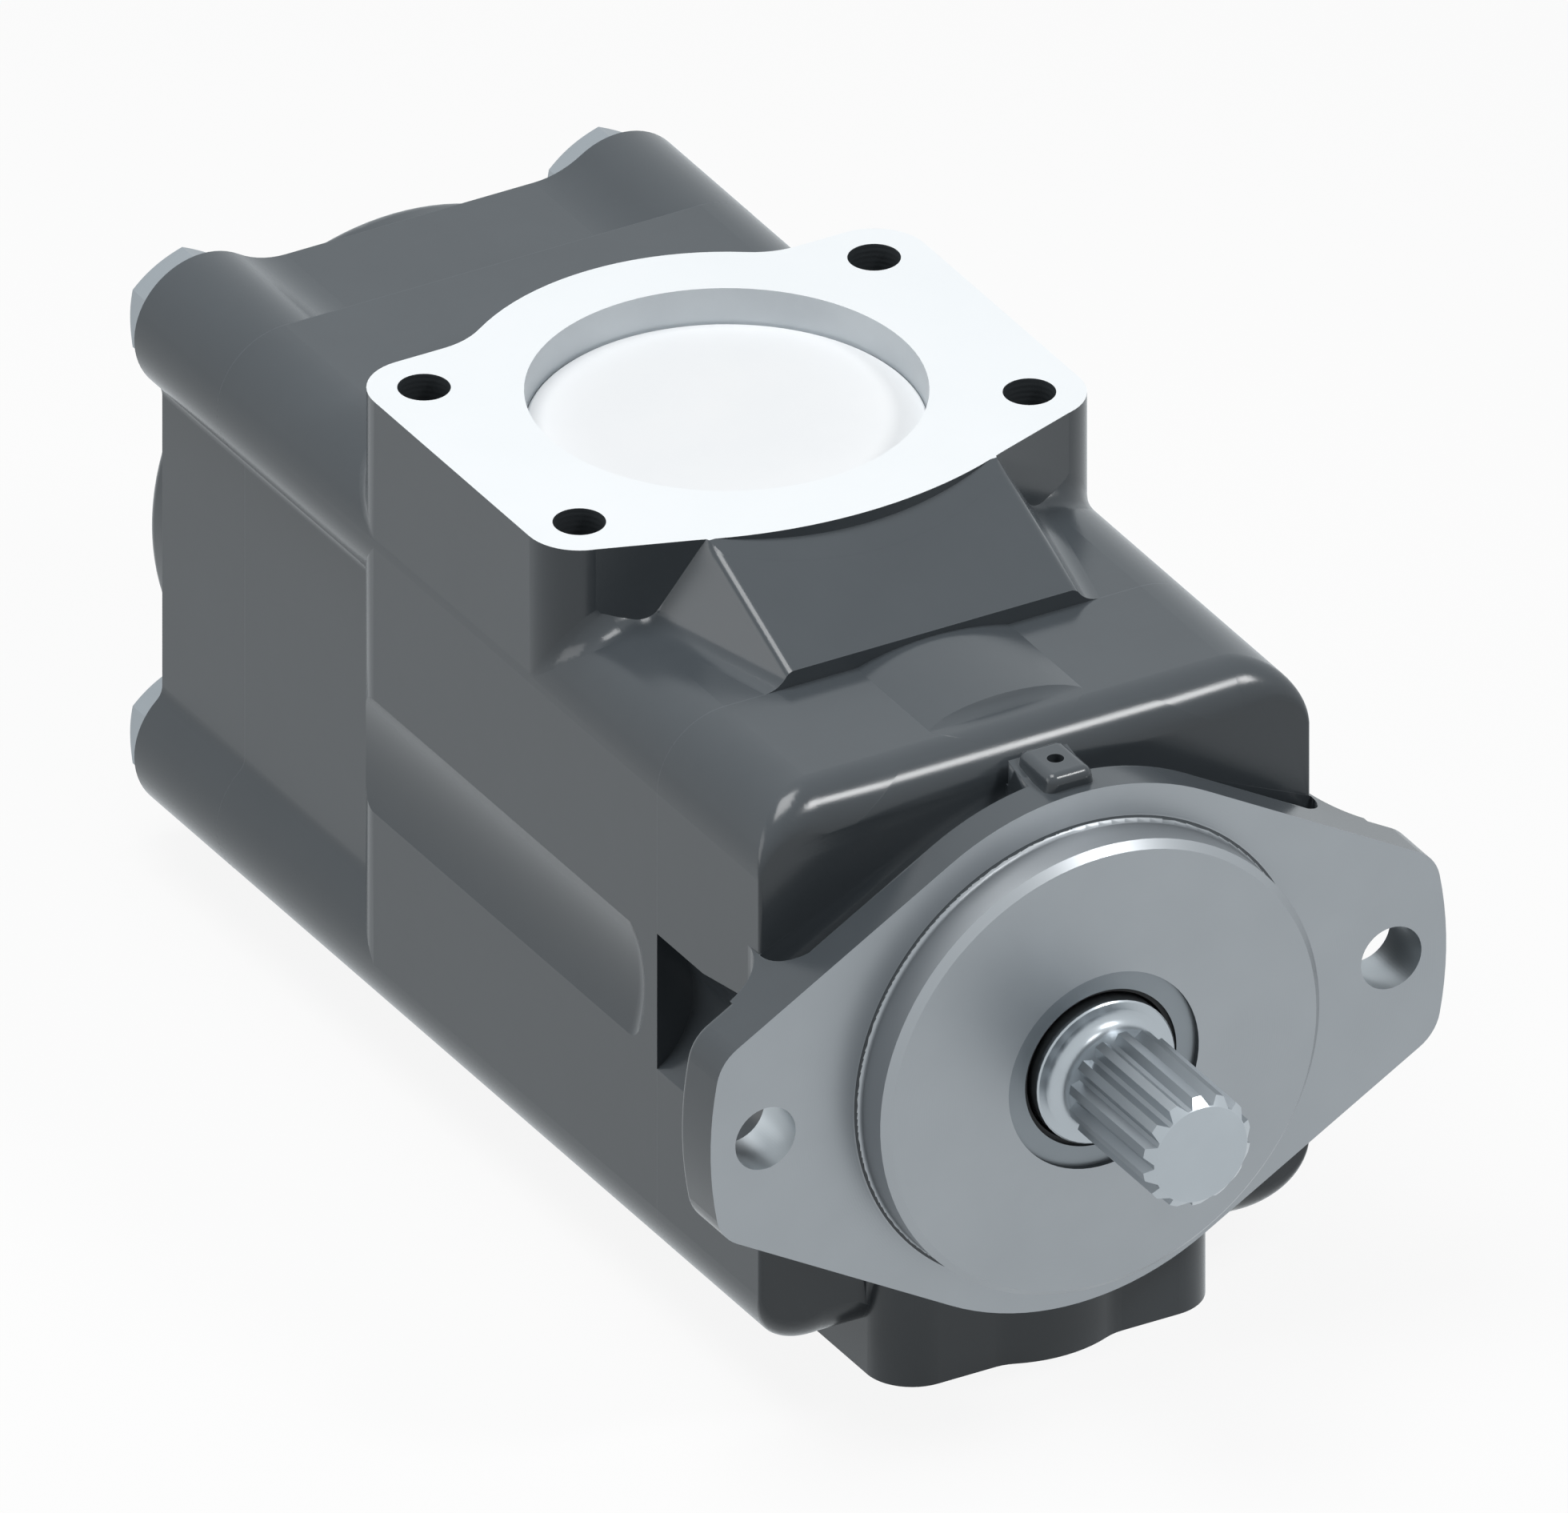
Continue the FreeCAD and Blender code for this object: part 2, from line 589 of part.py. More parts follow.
def mounting_cap():
    """Front casting: flange, pilot, seal and bearing seats, front pressure chamber and discharge pad."""
    pad = port_pad(FRONT_PORT_SPACING_X, FRONT_PORT_SPACING_Y, FRONT_PORT_CORNER, FRONT_PORT_BULGE,
                   FRONT_PORT_CORNER, FRONT_PORT_CENTRE, -PORT_FACE, -FRONT_CHAMBER_RADIUS)
    pad = pad.common(block((-FAR, FAR), (0, CAP_JOINT), (-FAR, FAR)))
    body = fused([flange(), neck(), pilot(), cap_box(), blister(), pad, weep_lug()])
    ears = FLANGE_BOLT_SPACING / 2
    tools = [cylinder_y(SEAL_OUTER_RADIUS, -PILOT_LENGTH, SEAL_END),
             cylinder_y(SEAL_SHOULDER_RADIUS, SEAL_END, FRONT_BEARING_START),
             cylinder_y(FRONT_BEARING_OUTER + RING_FIT, FRONT_BEARING_START, FRONT_CHAMBER_START),
             tube_y(FRONT_BEARING_OUTER + CIRCLIP_BITE + CIRCLIP_GROOVE_CLEARANCE, FRONT_BEARING_OUTER,
                    FRONT_BEARING_END, FRONT_BEARING_END + CIRCLIP_WIDTH + CIRCLIP_GROOVE_CLEARANCE),
             cylinder_y(FRONT_CHAMBER_RADIUS, FRONT_CHAMBER_START, FRONT_PLATE_START),
             cylinder_y(FRONT_CARTRIDGE_BORE, FRONT_PLATE_START, CAP_JOINT),
             cylinder_z(FRONT_PORT_BORE / 2, -PORT_FACE, -FRONT_BEARING_OUTER - 2 * CIRCLIP_BITE,
                        0, FRONT_PORT_CENTRE),
             cylinder_z(LUG_HOLE / 2, LUG_TOP - LUG_HOLE_DEPTH, LUG_TOP, 0, LUG_START + LUG_LENGTH / 2)]
    tools += tapped_holes(FRONT_PORT_SPACING_X, FRONT_PORT_SPACING_Y, FRONT_PORT_TAP, FRONT_PORT_CENTRE,
                          -PORT_FACE, -PORT_FACE + FRONT_PORT_TAP_DEPTH)
    for side in SIDES:
        tools += wrench_pocket(side * (ears + WRENCH_POCKET_BEYOND_BOLT))
        tools.append(cylinder_y(FLANGE_BOLT_HOLE / 2, 0, FLANGE_THICKNESS, side * ears))
    thread = TIE_BOLT_DIAMETER / 2 + THREAD_CLEARANCE
    tools += [cylinder_y(thread, CAP_JOINT - TIE_BOLT_THREAD_DEPTH, CAP_JOINT, x, z) for x, z in CORNERS]
    return cut_away(body, tools)


# Centre housing

def waist_prism(start, end, floor, floor_fillet):
    """Section with four round bosses and sides set in between them."""
    core = block((-WAIST_HALF_WIDTH, WAIST_HALF_WIDTH), (start, end), (-TIE_BOLT_OFFSET, TIE_BOLT_OFFSET))
    tall = block((-TIE_BOLT_OFFSET, TIE_BOLT_OFFSET), (start, end), (-floor, floor))
    section = fused([core, tall] + [cylinder_y(BOSS_RADIUS, start, end, x, z) for x, z in CORNERS])
    notch = TIE_BOLT_OFFSET - sqrt(BOSS_RADIUS ** 2 - (WAIST_HALF_WIDTH - TIE_BOLT_OFFSET) ** 2)

    def beside_waist(edge):
        middle = edge.CenterOfMass
        at_wall = abs(abs(middle.x) - WAIST_HALF_WIDTH) < 0.01
        return runs_along(edge, ALONG_Y) and at_wall and abs(abs(middle.z) - notch) < 0.01

    section = rounded(section, WAIST_FILLET, beside_waist)
    if floor < HALF_BODY:
        valley = TIE_BOLT_OFFSET - sqrt(BOSS_RADIUS ** 2 - (floor - TIE_BOLT_OFFSET) ** 2)

        def beside_valley(edge):
            middle = edge.CenterOfMass
            at_floor = abs(abs(middle.z) - floor) < 0.01
            return runs_along(edge, ALONG_Y) and at_floor and abs(abs(middle.x) - valley) < 0.01

        section = rounded(section, floor_fillet, beside_valley)
    return section


def cheeks():
    """Flush sides of the housing beside the cartridge and the suction pad, round at their rear corners."""
    corner = HALF_BODY - SUCTION_SPACING_X / 2
    end = SUCTION_CENTRE + SUCTION_SPACING_Y / 2 + corner
    slab = block((-HALF_BODY, HALF_BODY), (CAP_JOINT, end), (-TIE_BOLT_OFFSET, TIE_BOLT_OFFSET))
    return rounded(slab, corner, lambda edge: runs_along(edge, ALONG_Z) and edge.BoundBox.YMin > end - 0.01)


def throat_height(y):
    """Height of the throat's sloped top at a place along the pump."""
    return THROAT_TOE_HEIGHT + (y - CAP_JOINT) * tan(radians(THROAT_SLOPE))


def throat_limit():
    """Space between the throat's two drafted sides, which lean along with its slope."""
    run = SUCTION_CENTRE - CAP_JOINT
    rise = throat_height(SUCTION_CENTRE) - THROAT_TOE_HEIGHT

    def half_width(z):
        return THROAT_HALF_WIDTH + (THROAT_TOE_HEIGHT - z) * tan(radians(THROAT_DRAFT))

    low, high = -rise, THROAT_TOE_HEIGHT + 2 * THROAT_WALL_FILLET
    points = [Vector(-half_width(low), CAP_JOINT, low), Vector(-half_width(high), CAP_JOINT, high),
              Vector(half_width(high), CAP_JOINT, high), Vector(half_width(low), CAP_JOINT, low)]
    return Part.Face(outline(points)).extrude(Vector(0, run, rise))


def suction_top():
    """Suction pad and the sloped throat in front of it, built too tall, blended, and then faced off."""
    corner = HALF_BODY - SUCTION_PAD_INSET - SUCTION_SPACING_X / 2
    wall = SUCTION_CENTRE - SUCTION_SPACING_Y / 2 - corner
    tall = throat_height(SUCTION_CENTRE) + THROAT_WALL_FILLET
    base = TIE_BOLT_OFFSET
    pad = port_pad(SUCTION_SPACING_X, SUCTION_SPACING_Y, corner, SUCTION_BULGE_RADIUS, SUCTION_BULGE_BLEND,
                   SUCTION_CENTRE, base, tall)
    points = [Vector(-base, CAP_JOINT, base), Vector(-base, SUCTION_CENTRE, base),
              Vector(-base, SUCTION_CENTRE, throat_height(SUCTION_CENTRE)),
              Vector(-base, CAP_JOINT, THROAT_TOE_HEIGHT)]
    wide = Part.Face(outline(points)).extrude(ALONG_X * 2 * base)

    def meets_pad(edge):
        middle = edge.CenterOfMass
        on_slope = abs(middle.z - throat_height(middle.y)) < 0.01
        return on_slope and middle.y > CAP_JOINT + 1 and abs(middle.x) < base - 1

    blended = rounded(fused([pad, wide]), THROAT_WALL_FILLET, meets_pad)
    whole = fused([blended.common(throat_limit()), pad])
    faced = whole.common(block((-FAR, FAR), (0, FAR), (0, SUCTION_FACE)))

    def is_throat_side(edge):
        box = edge.BoundBox
        rises = box.ZMin > THROAT_TOE_HEIGHT - 0.01 and box.ZLength > 0.1 and box.YMax < wall
        return rises and abs(abs(edge.CenterOfMass.x) - THROAT_HALF_WIDTH) < 1

    return rounded(faced, THROAT_SIDE_EDGE, is_throat_side)


def housing_body():
    """Outside of the centre housing with a hollow fillet round the foot of its throat and its pad."""
    body = fused([waist_prism(CAP_JOINT, REAR_JOINT, HALF_BODY, 0), cheeks(), suction_top()])

    def is_front_foot(edge):
        box = edge.BoundBox
        in_front = CAP_JOINT + 1 < box.YMax < SUCTION_CENTRE and abs(box.ZMin - HALF_BODY) < 0.01
        flat = box.ZLength < 0.01 and abs(edge.CenterOfMass.x) < TIE_BOLT_OFFSET
        leans = box.ZLength > 1 and box.YLength < 0.01
        return in_front and box.XLength > 1 and (flat or leans)

    return rounded(body, FOOT_FILLET, is_front_foot)


def side_channel(side):
    """Shallow round channel along a side of the housing. It runs out softly at the front."""
    axis = HALF_BODY - SIDE_CHANNEL_DEPTH + SIDE_CHANNEL_RADIUS
    start = CAP_JOINT + SIDE_CHANNEL_START
    bar = cylinder_y(SIDE_CHANNEL_RADIUS, start, REAR_JOINT, side * axis)
    return rounded(bar, SIDE_CHANNEL_RUNOUT, lambda edge: lies_at_y(edge, start))


def centre_housing():
    """Middle casting: both cartridge bores, the suction gallery and the suction pad."""
    seat = SUCTION_FLOOR - CLOSURE_THICKNESS
    throat_radius = SUCTION_PORT / 2 - SUCTION_LEDGE
    tools = [cylinder_y(FRONT_CARTRIDGE_BORE, CAP_JOINT, GALLERY_START),
             cylinder_y(GALLERY_RADIUS, GALLERY_START, GALLERY_END),
             cylinder_y(REAR_CARTRIDGE_BORE, GALLERY_END, REAR_JOINT),
             cylinder_z(SUCTION_PORT / 2, seat, SUCTION_FACE, 0, SUCTION_CENTRE),
             cylinder_z(throat_radius, 0, seat, 0, SUCTION_CENTRE),
             oring_groove(FRONT_CARTRIDGE_BORE, CAP_JOINT, 1),
             oring_groove(REAR_CARTRIDGE_BORE, REAR_JOINT, -1)]
    tools += tapped_holes(SUCTION_SPACING_X, SUCTION_SPACING_Y, SUCTION_TAPPED_HOLE, SUCTION_CENTRE,
                          SUCTION_FACE - SUCTION_TAPPED_DEPTH, SUCTION_FACE)
    clear = TIE_BOLT_DIAMETER / 2 + TIE_BOLT_CLEARANCE
    tools += [cylinder_y(clear, CAP_JOINT, REAR_JOINT, x, z) for x, z in CORNERS]
    tools += [side_channel(side) for side in SIDES]
    return cut_away(housing_body(), tools)


# Rear cap

def rear_cap():
    """Rear casting: rear pressure chamber, rear bearing seat and discharge pad."""
    section = waist_prism(REAR_JOINT, BODY_END, VALLEY_HEIGHT, VALLEY_FILLET)
    end = BODY_END + REAR_BOSS_LENGTH
    boss = rounded(cylinder_y(REAR_BOSS_RADIUS, REAR_JOINT, end), REAR_BOSS_EDGE,
                   lambda edge: lies_at_y(edge, end))
    pad = port_pad(REAR_PORT_SPACING_X, REAR_PORT_SPACING_Y, REAR_PORT_CORNER, REAR_PORT_BULGE,
                   REAR_PORT_CORNER, REAR_PORT_CENTRE, -PORT_FACE, -TIE_BOLT_OFFSET)
    pad = pad.common(block((-FAR, FAR), (REAR_JOINT, FAR), (-FAR, 0)))
    body = fused([section, boss, pad])
    chamber_end = REAR_JOINT + REAR_CHAMBER_DEPTH
    tools = [cylinder_y(REAR_CHAMBER_RADIUS, REAR_JOINT, chamber_end),
             cylinder_y(REAR_BEARING_OUTER + RING_FIT, chamber_end, REAR_BEARING_END),
             cylinder_y(REAR_END_RADIUS, REAR_BEARING_END, REAR_BEARING_END + REAR_END_SPACE),
             cylinder_z(REAR_PORT_BORE / 2, -PORT_FACE, -REAR_BEARING_OUTER - REAR_PORT_BORE / 2,
                        0, REAR_PORT_CENTRE)]
    tools += tapped_holes(REAR_PORT_SPACING_X, REAR_PORT_SPACING_Y, REAR_PORT_TAP, REAR_PORT_CENTRE,
                          -PORT_FACE, -PORT_FACE + REAR_PORT_TAP_DEPTH)
    clear = TIE_BOLT_DIAMETER / 2 + TIE_BOLT_CLEARANCE
    tools += [cylinder_y(clear, REAR_JOINT, BODY_END, x, z) for x, z in CORNERS]
    tools += [cylinder_y(SPOT_FACE_RADIUS, BODY_END, end, x, z) for x, z in CORNERS]
    return cut_away(body, tools)


# Bolts, O-rings and the port's closure

def tie_bolts():
    """Four long screws that clamp the castings, each with a chamfered hexagon head."""
    wide = HEX_ACROSS_FLATS / sqrt(3)
    end = BODY_END + HEX_HEIGHT
    ring = [Vector(*on_circle_at(wide, 60 * number, BODY_END)) for number in range(6)]
    head = Part.Face(outline(ring)).extrude(ALONG_Y * HEX_HEIGHT)
    crown = turned([(0, BODY_END), (wide, BODY_END), (wide, end - (wide - HEX_ACROSS_FLATS / 2)),
                    (HEX_ACROSS_FLATS / 2 - HEX_CHAMFER, end), (0, end)])
    tip = CAP_JOINT - TIE_BOLT_THREAD_DEPTH + TIE_BOLT_END_SPACE
    shank = cylinder_y(TIE_BOLT_DIAMETER / 2, tip, BODY_END)
    shank = shank.makeChamfer(HEX_CHAMFER, [edge for edge in shank.Edges if lies_at_y(edge, tip)])
    bolt = fused([head.common(crown), shank])
    return Part.makeCompound([bolt.translated(Vector(x, 0, z)) for x, z in CORNERS])


def on_circle_at(radius, angle, y):
    """Point on a circle about the shaft at a place along it."""
    x, z = on_circle(radius, angle)
    return x, y, z


def oring_centre(bore):
    """Radius of the middle of a cap O-ring round a cartridge bore."""
    return bore + CAP_ORING_WALL + ORING_CLEARANCE + CAP_ORING_WIRE


def oring_groove(bore, face, inwards):
    """Square groove for a cap O-ring, cut from a face to one side of it."""
    half = CAP_ORING_WIRE + ORING_CLEARANCE
    middle = oring_centre(bore)
    ends = sorted([face, face + inwards * 2 * half])
    return tube_y(middle + half, middle - half, *ends)


def cap_oring(bore, face, inwards):
    """O-ring in its groove."""
    half = CAP_ORING_WIRE + ORING_CLEARANCE
    return Part.makeTorus(oring_centre(bore), CAP_ORING_WIRE, Vector(0, face + inwards * half, 0), ALONG_Y)


def suction_port_closure():
    """Flat protective disc that closes the suction port on its ledge."""
    radius = SUCTION_PORT / 2 - 2 * SMALL_CLEARANCE
    disc = cylinder_z(radius, SUCTION_FLOOR - CLOSURE_THICKNESS, SUCTION_FLOOR, 0, SUCTION_CENTRE)
    rim = [edge for edge in disc.Edges if edge.BoundBox.ZMin > SUCTION_FLOOR - 0.01]
    return disc.makeChamfer(CLOSURE_EDGE, rim)


# Shaft and seal

def drive_shaft():
    """Stepped shaft with its drive spline, neck, collar and the two rotor splines."""
    tip, root = SPLINE_TIP_RADIUS, SPLINE_ROOT_RADIUS
    bar = spline_bar(SPLINE_TEETH, tip, SPLINE_PITCH_RADIUS, root, SPLINE_TOOTH, SPLINE_END, SPLINE_START)
    cone_end = SPLINE_END + SPLINE_END_CHAMFER
    cone = turned([(0, SPLINE_END), (tip - SPLINE_END_CHAMFER, SPLINE_END), (tip + 1, cone_end + 1),
                   (tip + 1, SPLINE_START), (0, SPLINE_START)])
    collar_inner = SHAFT_SEAL_RADIUS - COLLAR_FACE_WIDTH
    fillet = collar_inner - root
    foot = (root, COLLAR_FACE - fillet)
    bend = arc_between((collar_inner, COLLAR_FACE - fillet), fillet, foot, (collar_inner, COLLAR_FACE))
    shoulder_end = FRONT_BEARING_END + SHAFT_SHOULDER_LENGTH
    step = SHAFT_STEP_CHAMFER
    core = turned([(0, SPLINE_START), (root, SPLINE_START), foot, (bend, (collar_inner, COLLAR_FACE)),
                   (SHAFT_SEAL_RADIUS - step / 2, COLLAR_FACE), (SHAFT_SEAL_RADIUS, COLLAR_FACE + step / 2),
                   (SHAFT_SEAL_RADIUS, FRONT_BEARING_END), (SHAFT_SHOULDER_RADIUS, FRONT_BEARING_END),
                   (SHAFT_SHOULDER_RADIUS, shoulder_end - step), (SHAFT_SHOULDER_RADIUS - step, shoulder_end),
                   (SHAFT_FRONT_RADIUS, shoulder_end), (SHAFT_FRONT_RADIUS, FRONT_CAM_START),
                   (SHAFT_FRONT_RADIUS - ROTOR_SPLINE_DEPTH, FRONT_CAM_START),
                   (SHAFT_FRONT_RADIUS - ROTOR_SPLINE_DEPTH, FRONT_CAM_END),
                   (SHAFT_MIDDLE_RADIUS, FRONT_CAM_END), (SHAFT_MIDDLE_RADIUS, REAR_CAM_START),
                   (SHAFT_REAR_RADIUS, REAR_CAM_START), (SHAFT_REAR_RADIUS, REAR_BEARING_START),
                   (REAR_BEARING_BORE, REAR_BEARING_START), (REAR_BEARING_BORE, REAR_BEARING_END - step),
                   (REAR_BEARING_BORE - step, REAR_BEARING_END), (0, REAR_BEARING_END)])
    groove = tube_y(SHAFT_SEAL_RADIUS + 1, SHAFT_SEAL_RADIUS - CIRCLIP_BITE, shaft_circlip_start(),
                    FRONT_BEARING_START)
    front = rotor_spline(FRONT_ROTOR_SPLINE_TEETH, SHAFT_FRONT_RADIUS, FRONT_CAM_START, FRONT_CAM_END)
    rear = rotor_spline(REAR_ROTOR_SPLINE_TEETH, SHAFT_MIDDLE_RADIUS, REAR_CAM_START, REAR_CAM_END)
    return fused([core, bar.common(cone), front, rear]).cut(groove)


def rotor_spline(teeth, tip, start, end, grow=0.0):
    """Spline between the shaft and a rotor."""
    root = tip - ROTOR_SPLINE_DEPTH
    pitch = tip - ROTOR_SPLINE_DEPTH / 2
    return spline_bar(teeth, tip, pitch, root, pi * pitch / teeth, start, end, grow)


def shaft_circlip_start():
    """Front face of the circlip that holds the front bearing on the shaft."""
    return FRONT_BEARING_START - CIRCLIP_WIDTH


def open_ring(outer, inner, start, end, gap, towards):
    """Circlip: a flat ring with a gap."""
    opening = sorted([0, towards * FAR])
    return tube_y(outer, inner, start, end).cut(block((-gap / 2, gap / 2), (start, end), opening))


def shaft_seal():
    """The seal's pressed metal case, its rubber lip and its garter spring."""
    outer = SEAL_OUTER_RADIUS - RING_FIT
    window = SEAL_CASE_INNER_RADIUS
    case = turned([(window, SEAL_START), (outer, SEAL_START), (outer, SEAL_END),
                   (outer - SEAL_WALL, SEAL_END), (outer - SEAL_WALL, SEAL_START + SEAL_WALL),
                   (window, SEAL_START + SEAL_WALL)])
    contact = SHAFT_SEAL_RADIUS + SEAL_LIP_GAP
    inner = contact + SEAL_LIP_THICKNESS
    wire_centre = inner + 2 * GARTER_WIRE_RADIUS
    web_start = SEAL_START + SEAL_WALL
    web_end = web_start + 2 * SEAL_WALL
    lip_back = SEAL_END - SEAL_WALL
    spring_y = SEAL_START + SEAL_WIDTH * SEAL_CONTACT_SHARE
    lip = turned([(inner, web_start), (outer - SEAL_WALL, web_start), (outer - SEAL_WALL, web_end),
                  (wire_centre, web_end), (wire_centre, lip_back), (inner, lip_back), (contact, spring_y),
                  (inner, spring_y - SEAL_LIP_REACH)])
    wire_place = Vector(0, spring_y, 0)
    groove = Part.makeTorus(wire_centre, GARTER_WIRE_RADIUS + SMALL_CLEARANCE / 2, wire_place, ALONG_Y)
    spring = Part.makeTorus(wire_centre, GARTER_WIRE_RADIUS, wire_place, ALONG_Y)
    return case, lip.cut(groove), spring


# Ball bearings

def ball_bearing(bore, outer, start, width, ball, count):
    """Outer ring, inner ring, cage and balls of a deep-groove bearing."""
    end = start + width
    middle = (start + end) / 2
    track = (bore + outer) / 2
    centre = Vector(0, middle, 0)
    groove = Part.makeTorus(track, ball + BALL_CLEARANCE, centre, ALONG_Y)
    outer_ring = tube_y(outer, track + RACE_SHOULDER * ball, start, end).cut(groove)
    inner_ring = tube_y(track - RACE_SHOULDER * ball, bore, start, end).cut(groove)
    half_cage = ball + BALL_CLEARANCE + CAGE_RIM
    half_wall = CAGE_THICKNESS / 2
    cage = tube_y(track + half_wall, track - half_wall, middle - half_cage, middle + half_cage)
    places = [number * 360 / count for number in range(count)]
    ball_at_top = Part.makeSphere(ball, Vector(0, middle, track))
    pocket_at_top = cylinder_z(ball + BALL_CLEARANCE, track - ball, track + ball, 0, middle)
    pockets = [turn_about_shaft(pocket_at_top, place) for place in places]
    balls = [turn_about_shaft(ball_at_top, place) for place in places]
    return outer_ring, inner_ring, cage.cut(pockets), Part.makeCompound(balls)


# Vane cartridges

def cam_radius(angle, minor, major):
    """The cam ring's inner radius: smallest at the top and bottom, largest at the sides."""
    share = (1 - cos(2 * radians(angle))) / 2
    return minor + (major - minor) * share * share * (3 - 2 * share)


def cam_space(minor, major, start, end):
    """The space inside a cam ring, bounded by one smooth closed curve."""
    points = []
    for number in range(72):
        x, z = on_circle(cam_radius(5 * number, minor, major), 5 * number)
        points.append(Vector(x, start, z))
    curve = Part.BSplineCurve()
    curve.interpolate(points, PeriodicFlag=True)
    return Part.Face(Part.Wire(curve.toShape())).extrude(Vector(0, end - start, 0))


def kidney(middle, angle, start, end):
    """Curved slot about the shaft with round ends."""
    half = KIDNEY_WIDTH / 2
    first, last = angle - KIDNEY_SPAN / 2, angle + KIDNEY_SPAN / 2

    def at(radius, place):
        return Vector(*on_circle_at(radius, place, start))

    def tip(place, beyond):
        return at(middle, place) + (at(middle, place + beyond) - at(middle, place)).normalize() * half

    wire = outline([at(middle + half, first), (at(middle + half, angle), at(middle + half, last)),
                    (tip(last, 1), at(middle - half, last)),
                    (at(middle - half, angle), at(middle - half, first)),
                    (tip(first, -1), at(middle + half, first))])
    return Part.Face(wire).extrude(Vector(0, end - start, 0))


def vane(tip, length, start, end):
    """Vane that points up, with bevels on both sides of its tip."""
    half = VANE_THICKNESS / 2
    bevel = VANE_TIP_BEVEL
    points = [Vector(-half, start, tip - length), Vector(half, start, tip - length),
              Vector(half, start, tip - bevel), Vector(half - bevel, start, tip),
              Vector(bevel - half, start, tip), Vector(-half, start, tip - bevel)]
    return Part.Face(outline(points)).extrude(Vector(0, end - start, 0))


def cartridge(bore, minor, major, vane_length, spline_teeth, shaft_radius, cam_start, cam_end, plate, inlet,
              to_rear):
    """Pump cartridge. Its pressure plate faces its own cap and its suction plate faces the gallery."""
    outer = bore - CARTRIDGE_CLEARANCE
    rotor_radius = minor - ROTOR_GAP
    start, end = cam_start + ROTOR_SIDE_GAP, cam_end - ROTOR_SIDE_GAP
    pins = outer - PIN_CIRCLE_INSET
    if to_rear:
        plate_ends, inlet_ends = (cam_end, cam_end + plate), (cam_start - inlet, cam_start)
    else:
        plate_ends, inlet_ends = (cam_start - plate, cam_start), (cam_end, cam_end + inlet)
    pressure_face = cam_end if to_rear else cam_start
    suction_face = cam_start if to_rear else cam_end
    away = 1 if to_rear else -1

    rotor = cylinder_y(rotor_radius, start, end)
    rotor = rotor.cut(rotor_spline(spline_teeth, shaft_radius, start, end, SPLINE_CLEARANCE))
    slot_bottom = rotor_radius - VANE_TIP_GAP - vane_length - VANE_SLOT_GAP
    half = VANE_THICKNESS / 2 + VANE_SLOT_GAP
    slot = fused([block((-half, half), (start, end), (slot_bottom, rotor_radius + 1)),
                  cylinder_y(UNDER_VANE_HOLE, start, end, 0, slot_bottom)])
    places = [(number + 0.5) * 360 / VANES for number in range(VANES)]
    rotor = rotor.cut([turn_about_shaft(slot, place) for place in places])
    blade = vane(rotor_radius - VANE_TIP_GAP, vane_length, start, end)
    vanes = [turn_about_shaft(blade, place) for place in places]

    dowel_places = [on_circle(pins, 0), on_circle(pins, 180)]
    screw_places = [on_circle(pins, 90), on_circle(pins, 270)]
    dowels = [cylinder_y(DOWEL_RADIUS, cam_start - DOWEL_DEPTH, cam_end + DOWEL_DEPTH, x, z)
              for x, z in dowel_places]
    dowel_holes = [cylinder_y(DOWEL_RADIUS + RING_FIT, cam_start - DOWEL_DEPTH, cam_end + DOWEL_DEPTH, x, z)
                   for x, z in dowel_places]

    outside = suction_face - away * inlet
    under_head = outside + away * (SMALL_CLEARANCE + CARTRIDGE_SCREW_HEAD_HEIGHT)

    def screw(x, z, gap):
        """Cap screw through the cartridge, or with a gap the space that it fits."""
        head_top = outside if gap else outside + away * SMALL_CLEARANCE
        tip = pressure_face + away * (CARTRIDGE_SCREW_BITE + gap)
        head = cylinder_y(CARTRIDGE_SCREW_HEAD + gap, *sorted([head_top, under_head]), x, z)
        return fused([head, cylinder_y(CARTRIDGE_SCREW_RADIUS + gap, *sorted([under_head, tip]), x, z)])

    screws = [screw(x, z, 0) for x, z in screw_places]
    screw_holes = [screw(x, z, SMALL_CLEARANCE) for x, z in screw_places]

    cam_ring = cylinder_y(outer, cam_start, cam_end).cut([cam_space(minor, major, cam_start, cam_end)]
                                                         + dowel_holes + screw_holes)
    shaft_hole = shaft_radius + PLATE_BORE_CLEARANCE
    kidney_radius = (minor + major) / 2
    pressure_plate = tube_y(outer, shaft_hole, *plate_ends)
    seal_y = (plate_ends[0] + plate_ends[1]) / 2
    seal_half = PLATE_SEAL_RADIUS + ORING_CLEARANCE
    seal_centre = bore - SMALL_CLEARANCE / 2 - PLATE_SEAL_RADIUS
    seal_groove = tube_y(outer + 1, seal_centre - seal_half, seal_y - seal_half, seal_y + seal_half)
    outlets = [kidney(kidney_radius, angle, *plate_ends) for angle in (135, 315)]
    pressure_plate = pressure_plate.cut([seal_groove] + outlets + dowel_holes + screw_holes)
    suction_plate = tube_y(outer, shaft_hole, *inlet_ends)
    inlets = [kidney(kidney_radius, angle, *inlet_ends) for angle in (45, 225)]
    suction_plate = suction_plate.cut(inlets + dowel_holes + screw_holes)
    seal = Part.makeTorus(seal_centre, PLATE_SEAL_RADIUS, Vector(0, seal_y, 0), ALONG_Y)
    return {"cam_ring": cam_ring, "rotor": rotor, "pressure_plate": pressure_plate,
            "suction_plate": suction_plate, "plate_oring": seal, "dowel_pins": Part.makeCompound(dowels),
            "cartridge_screws": Part.makeCompound(screws), "vanes": vanes}


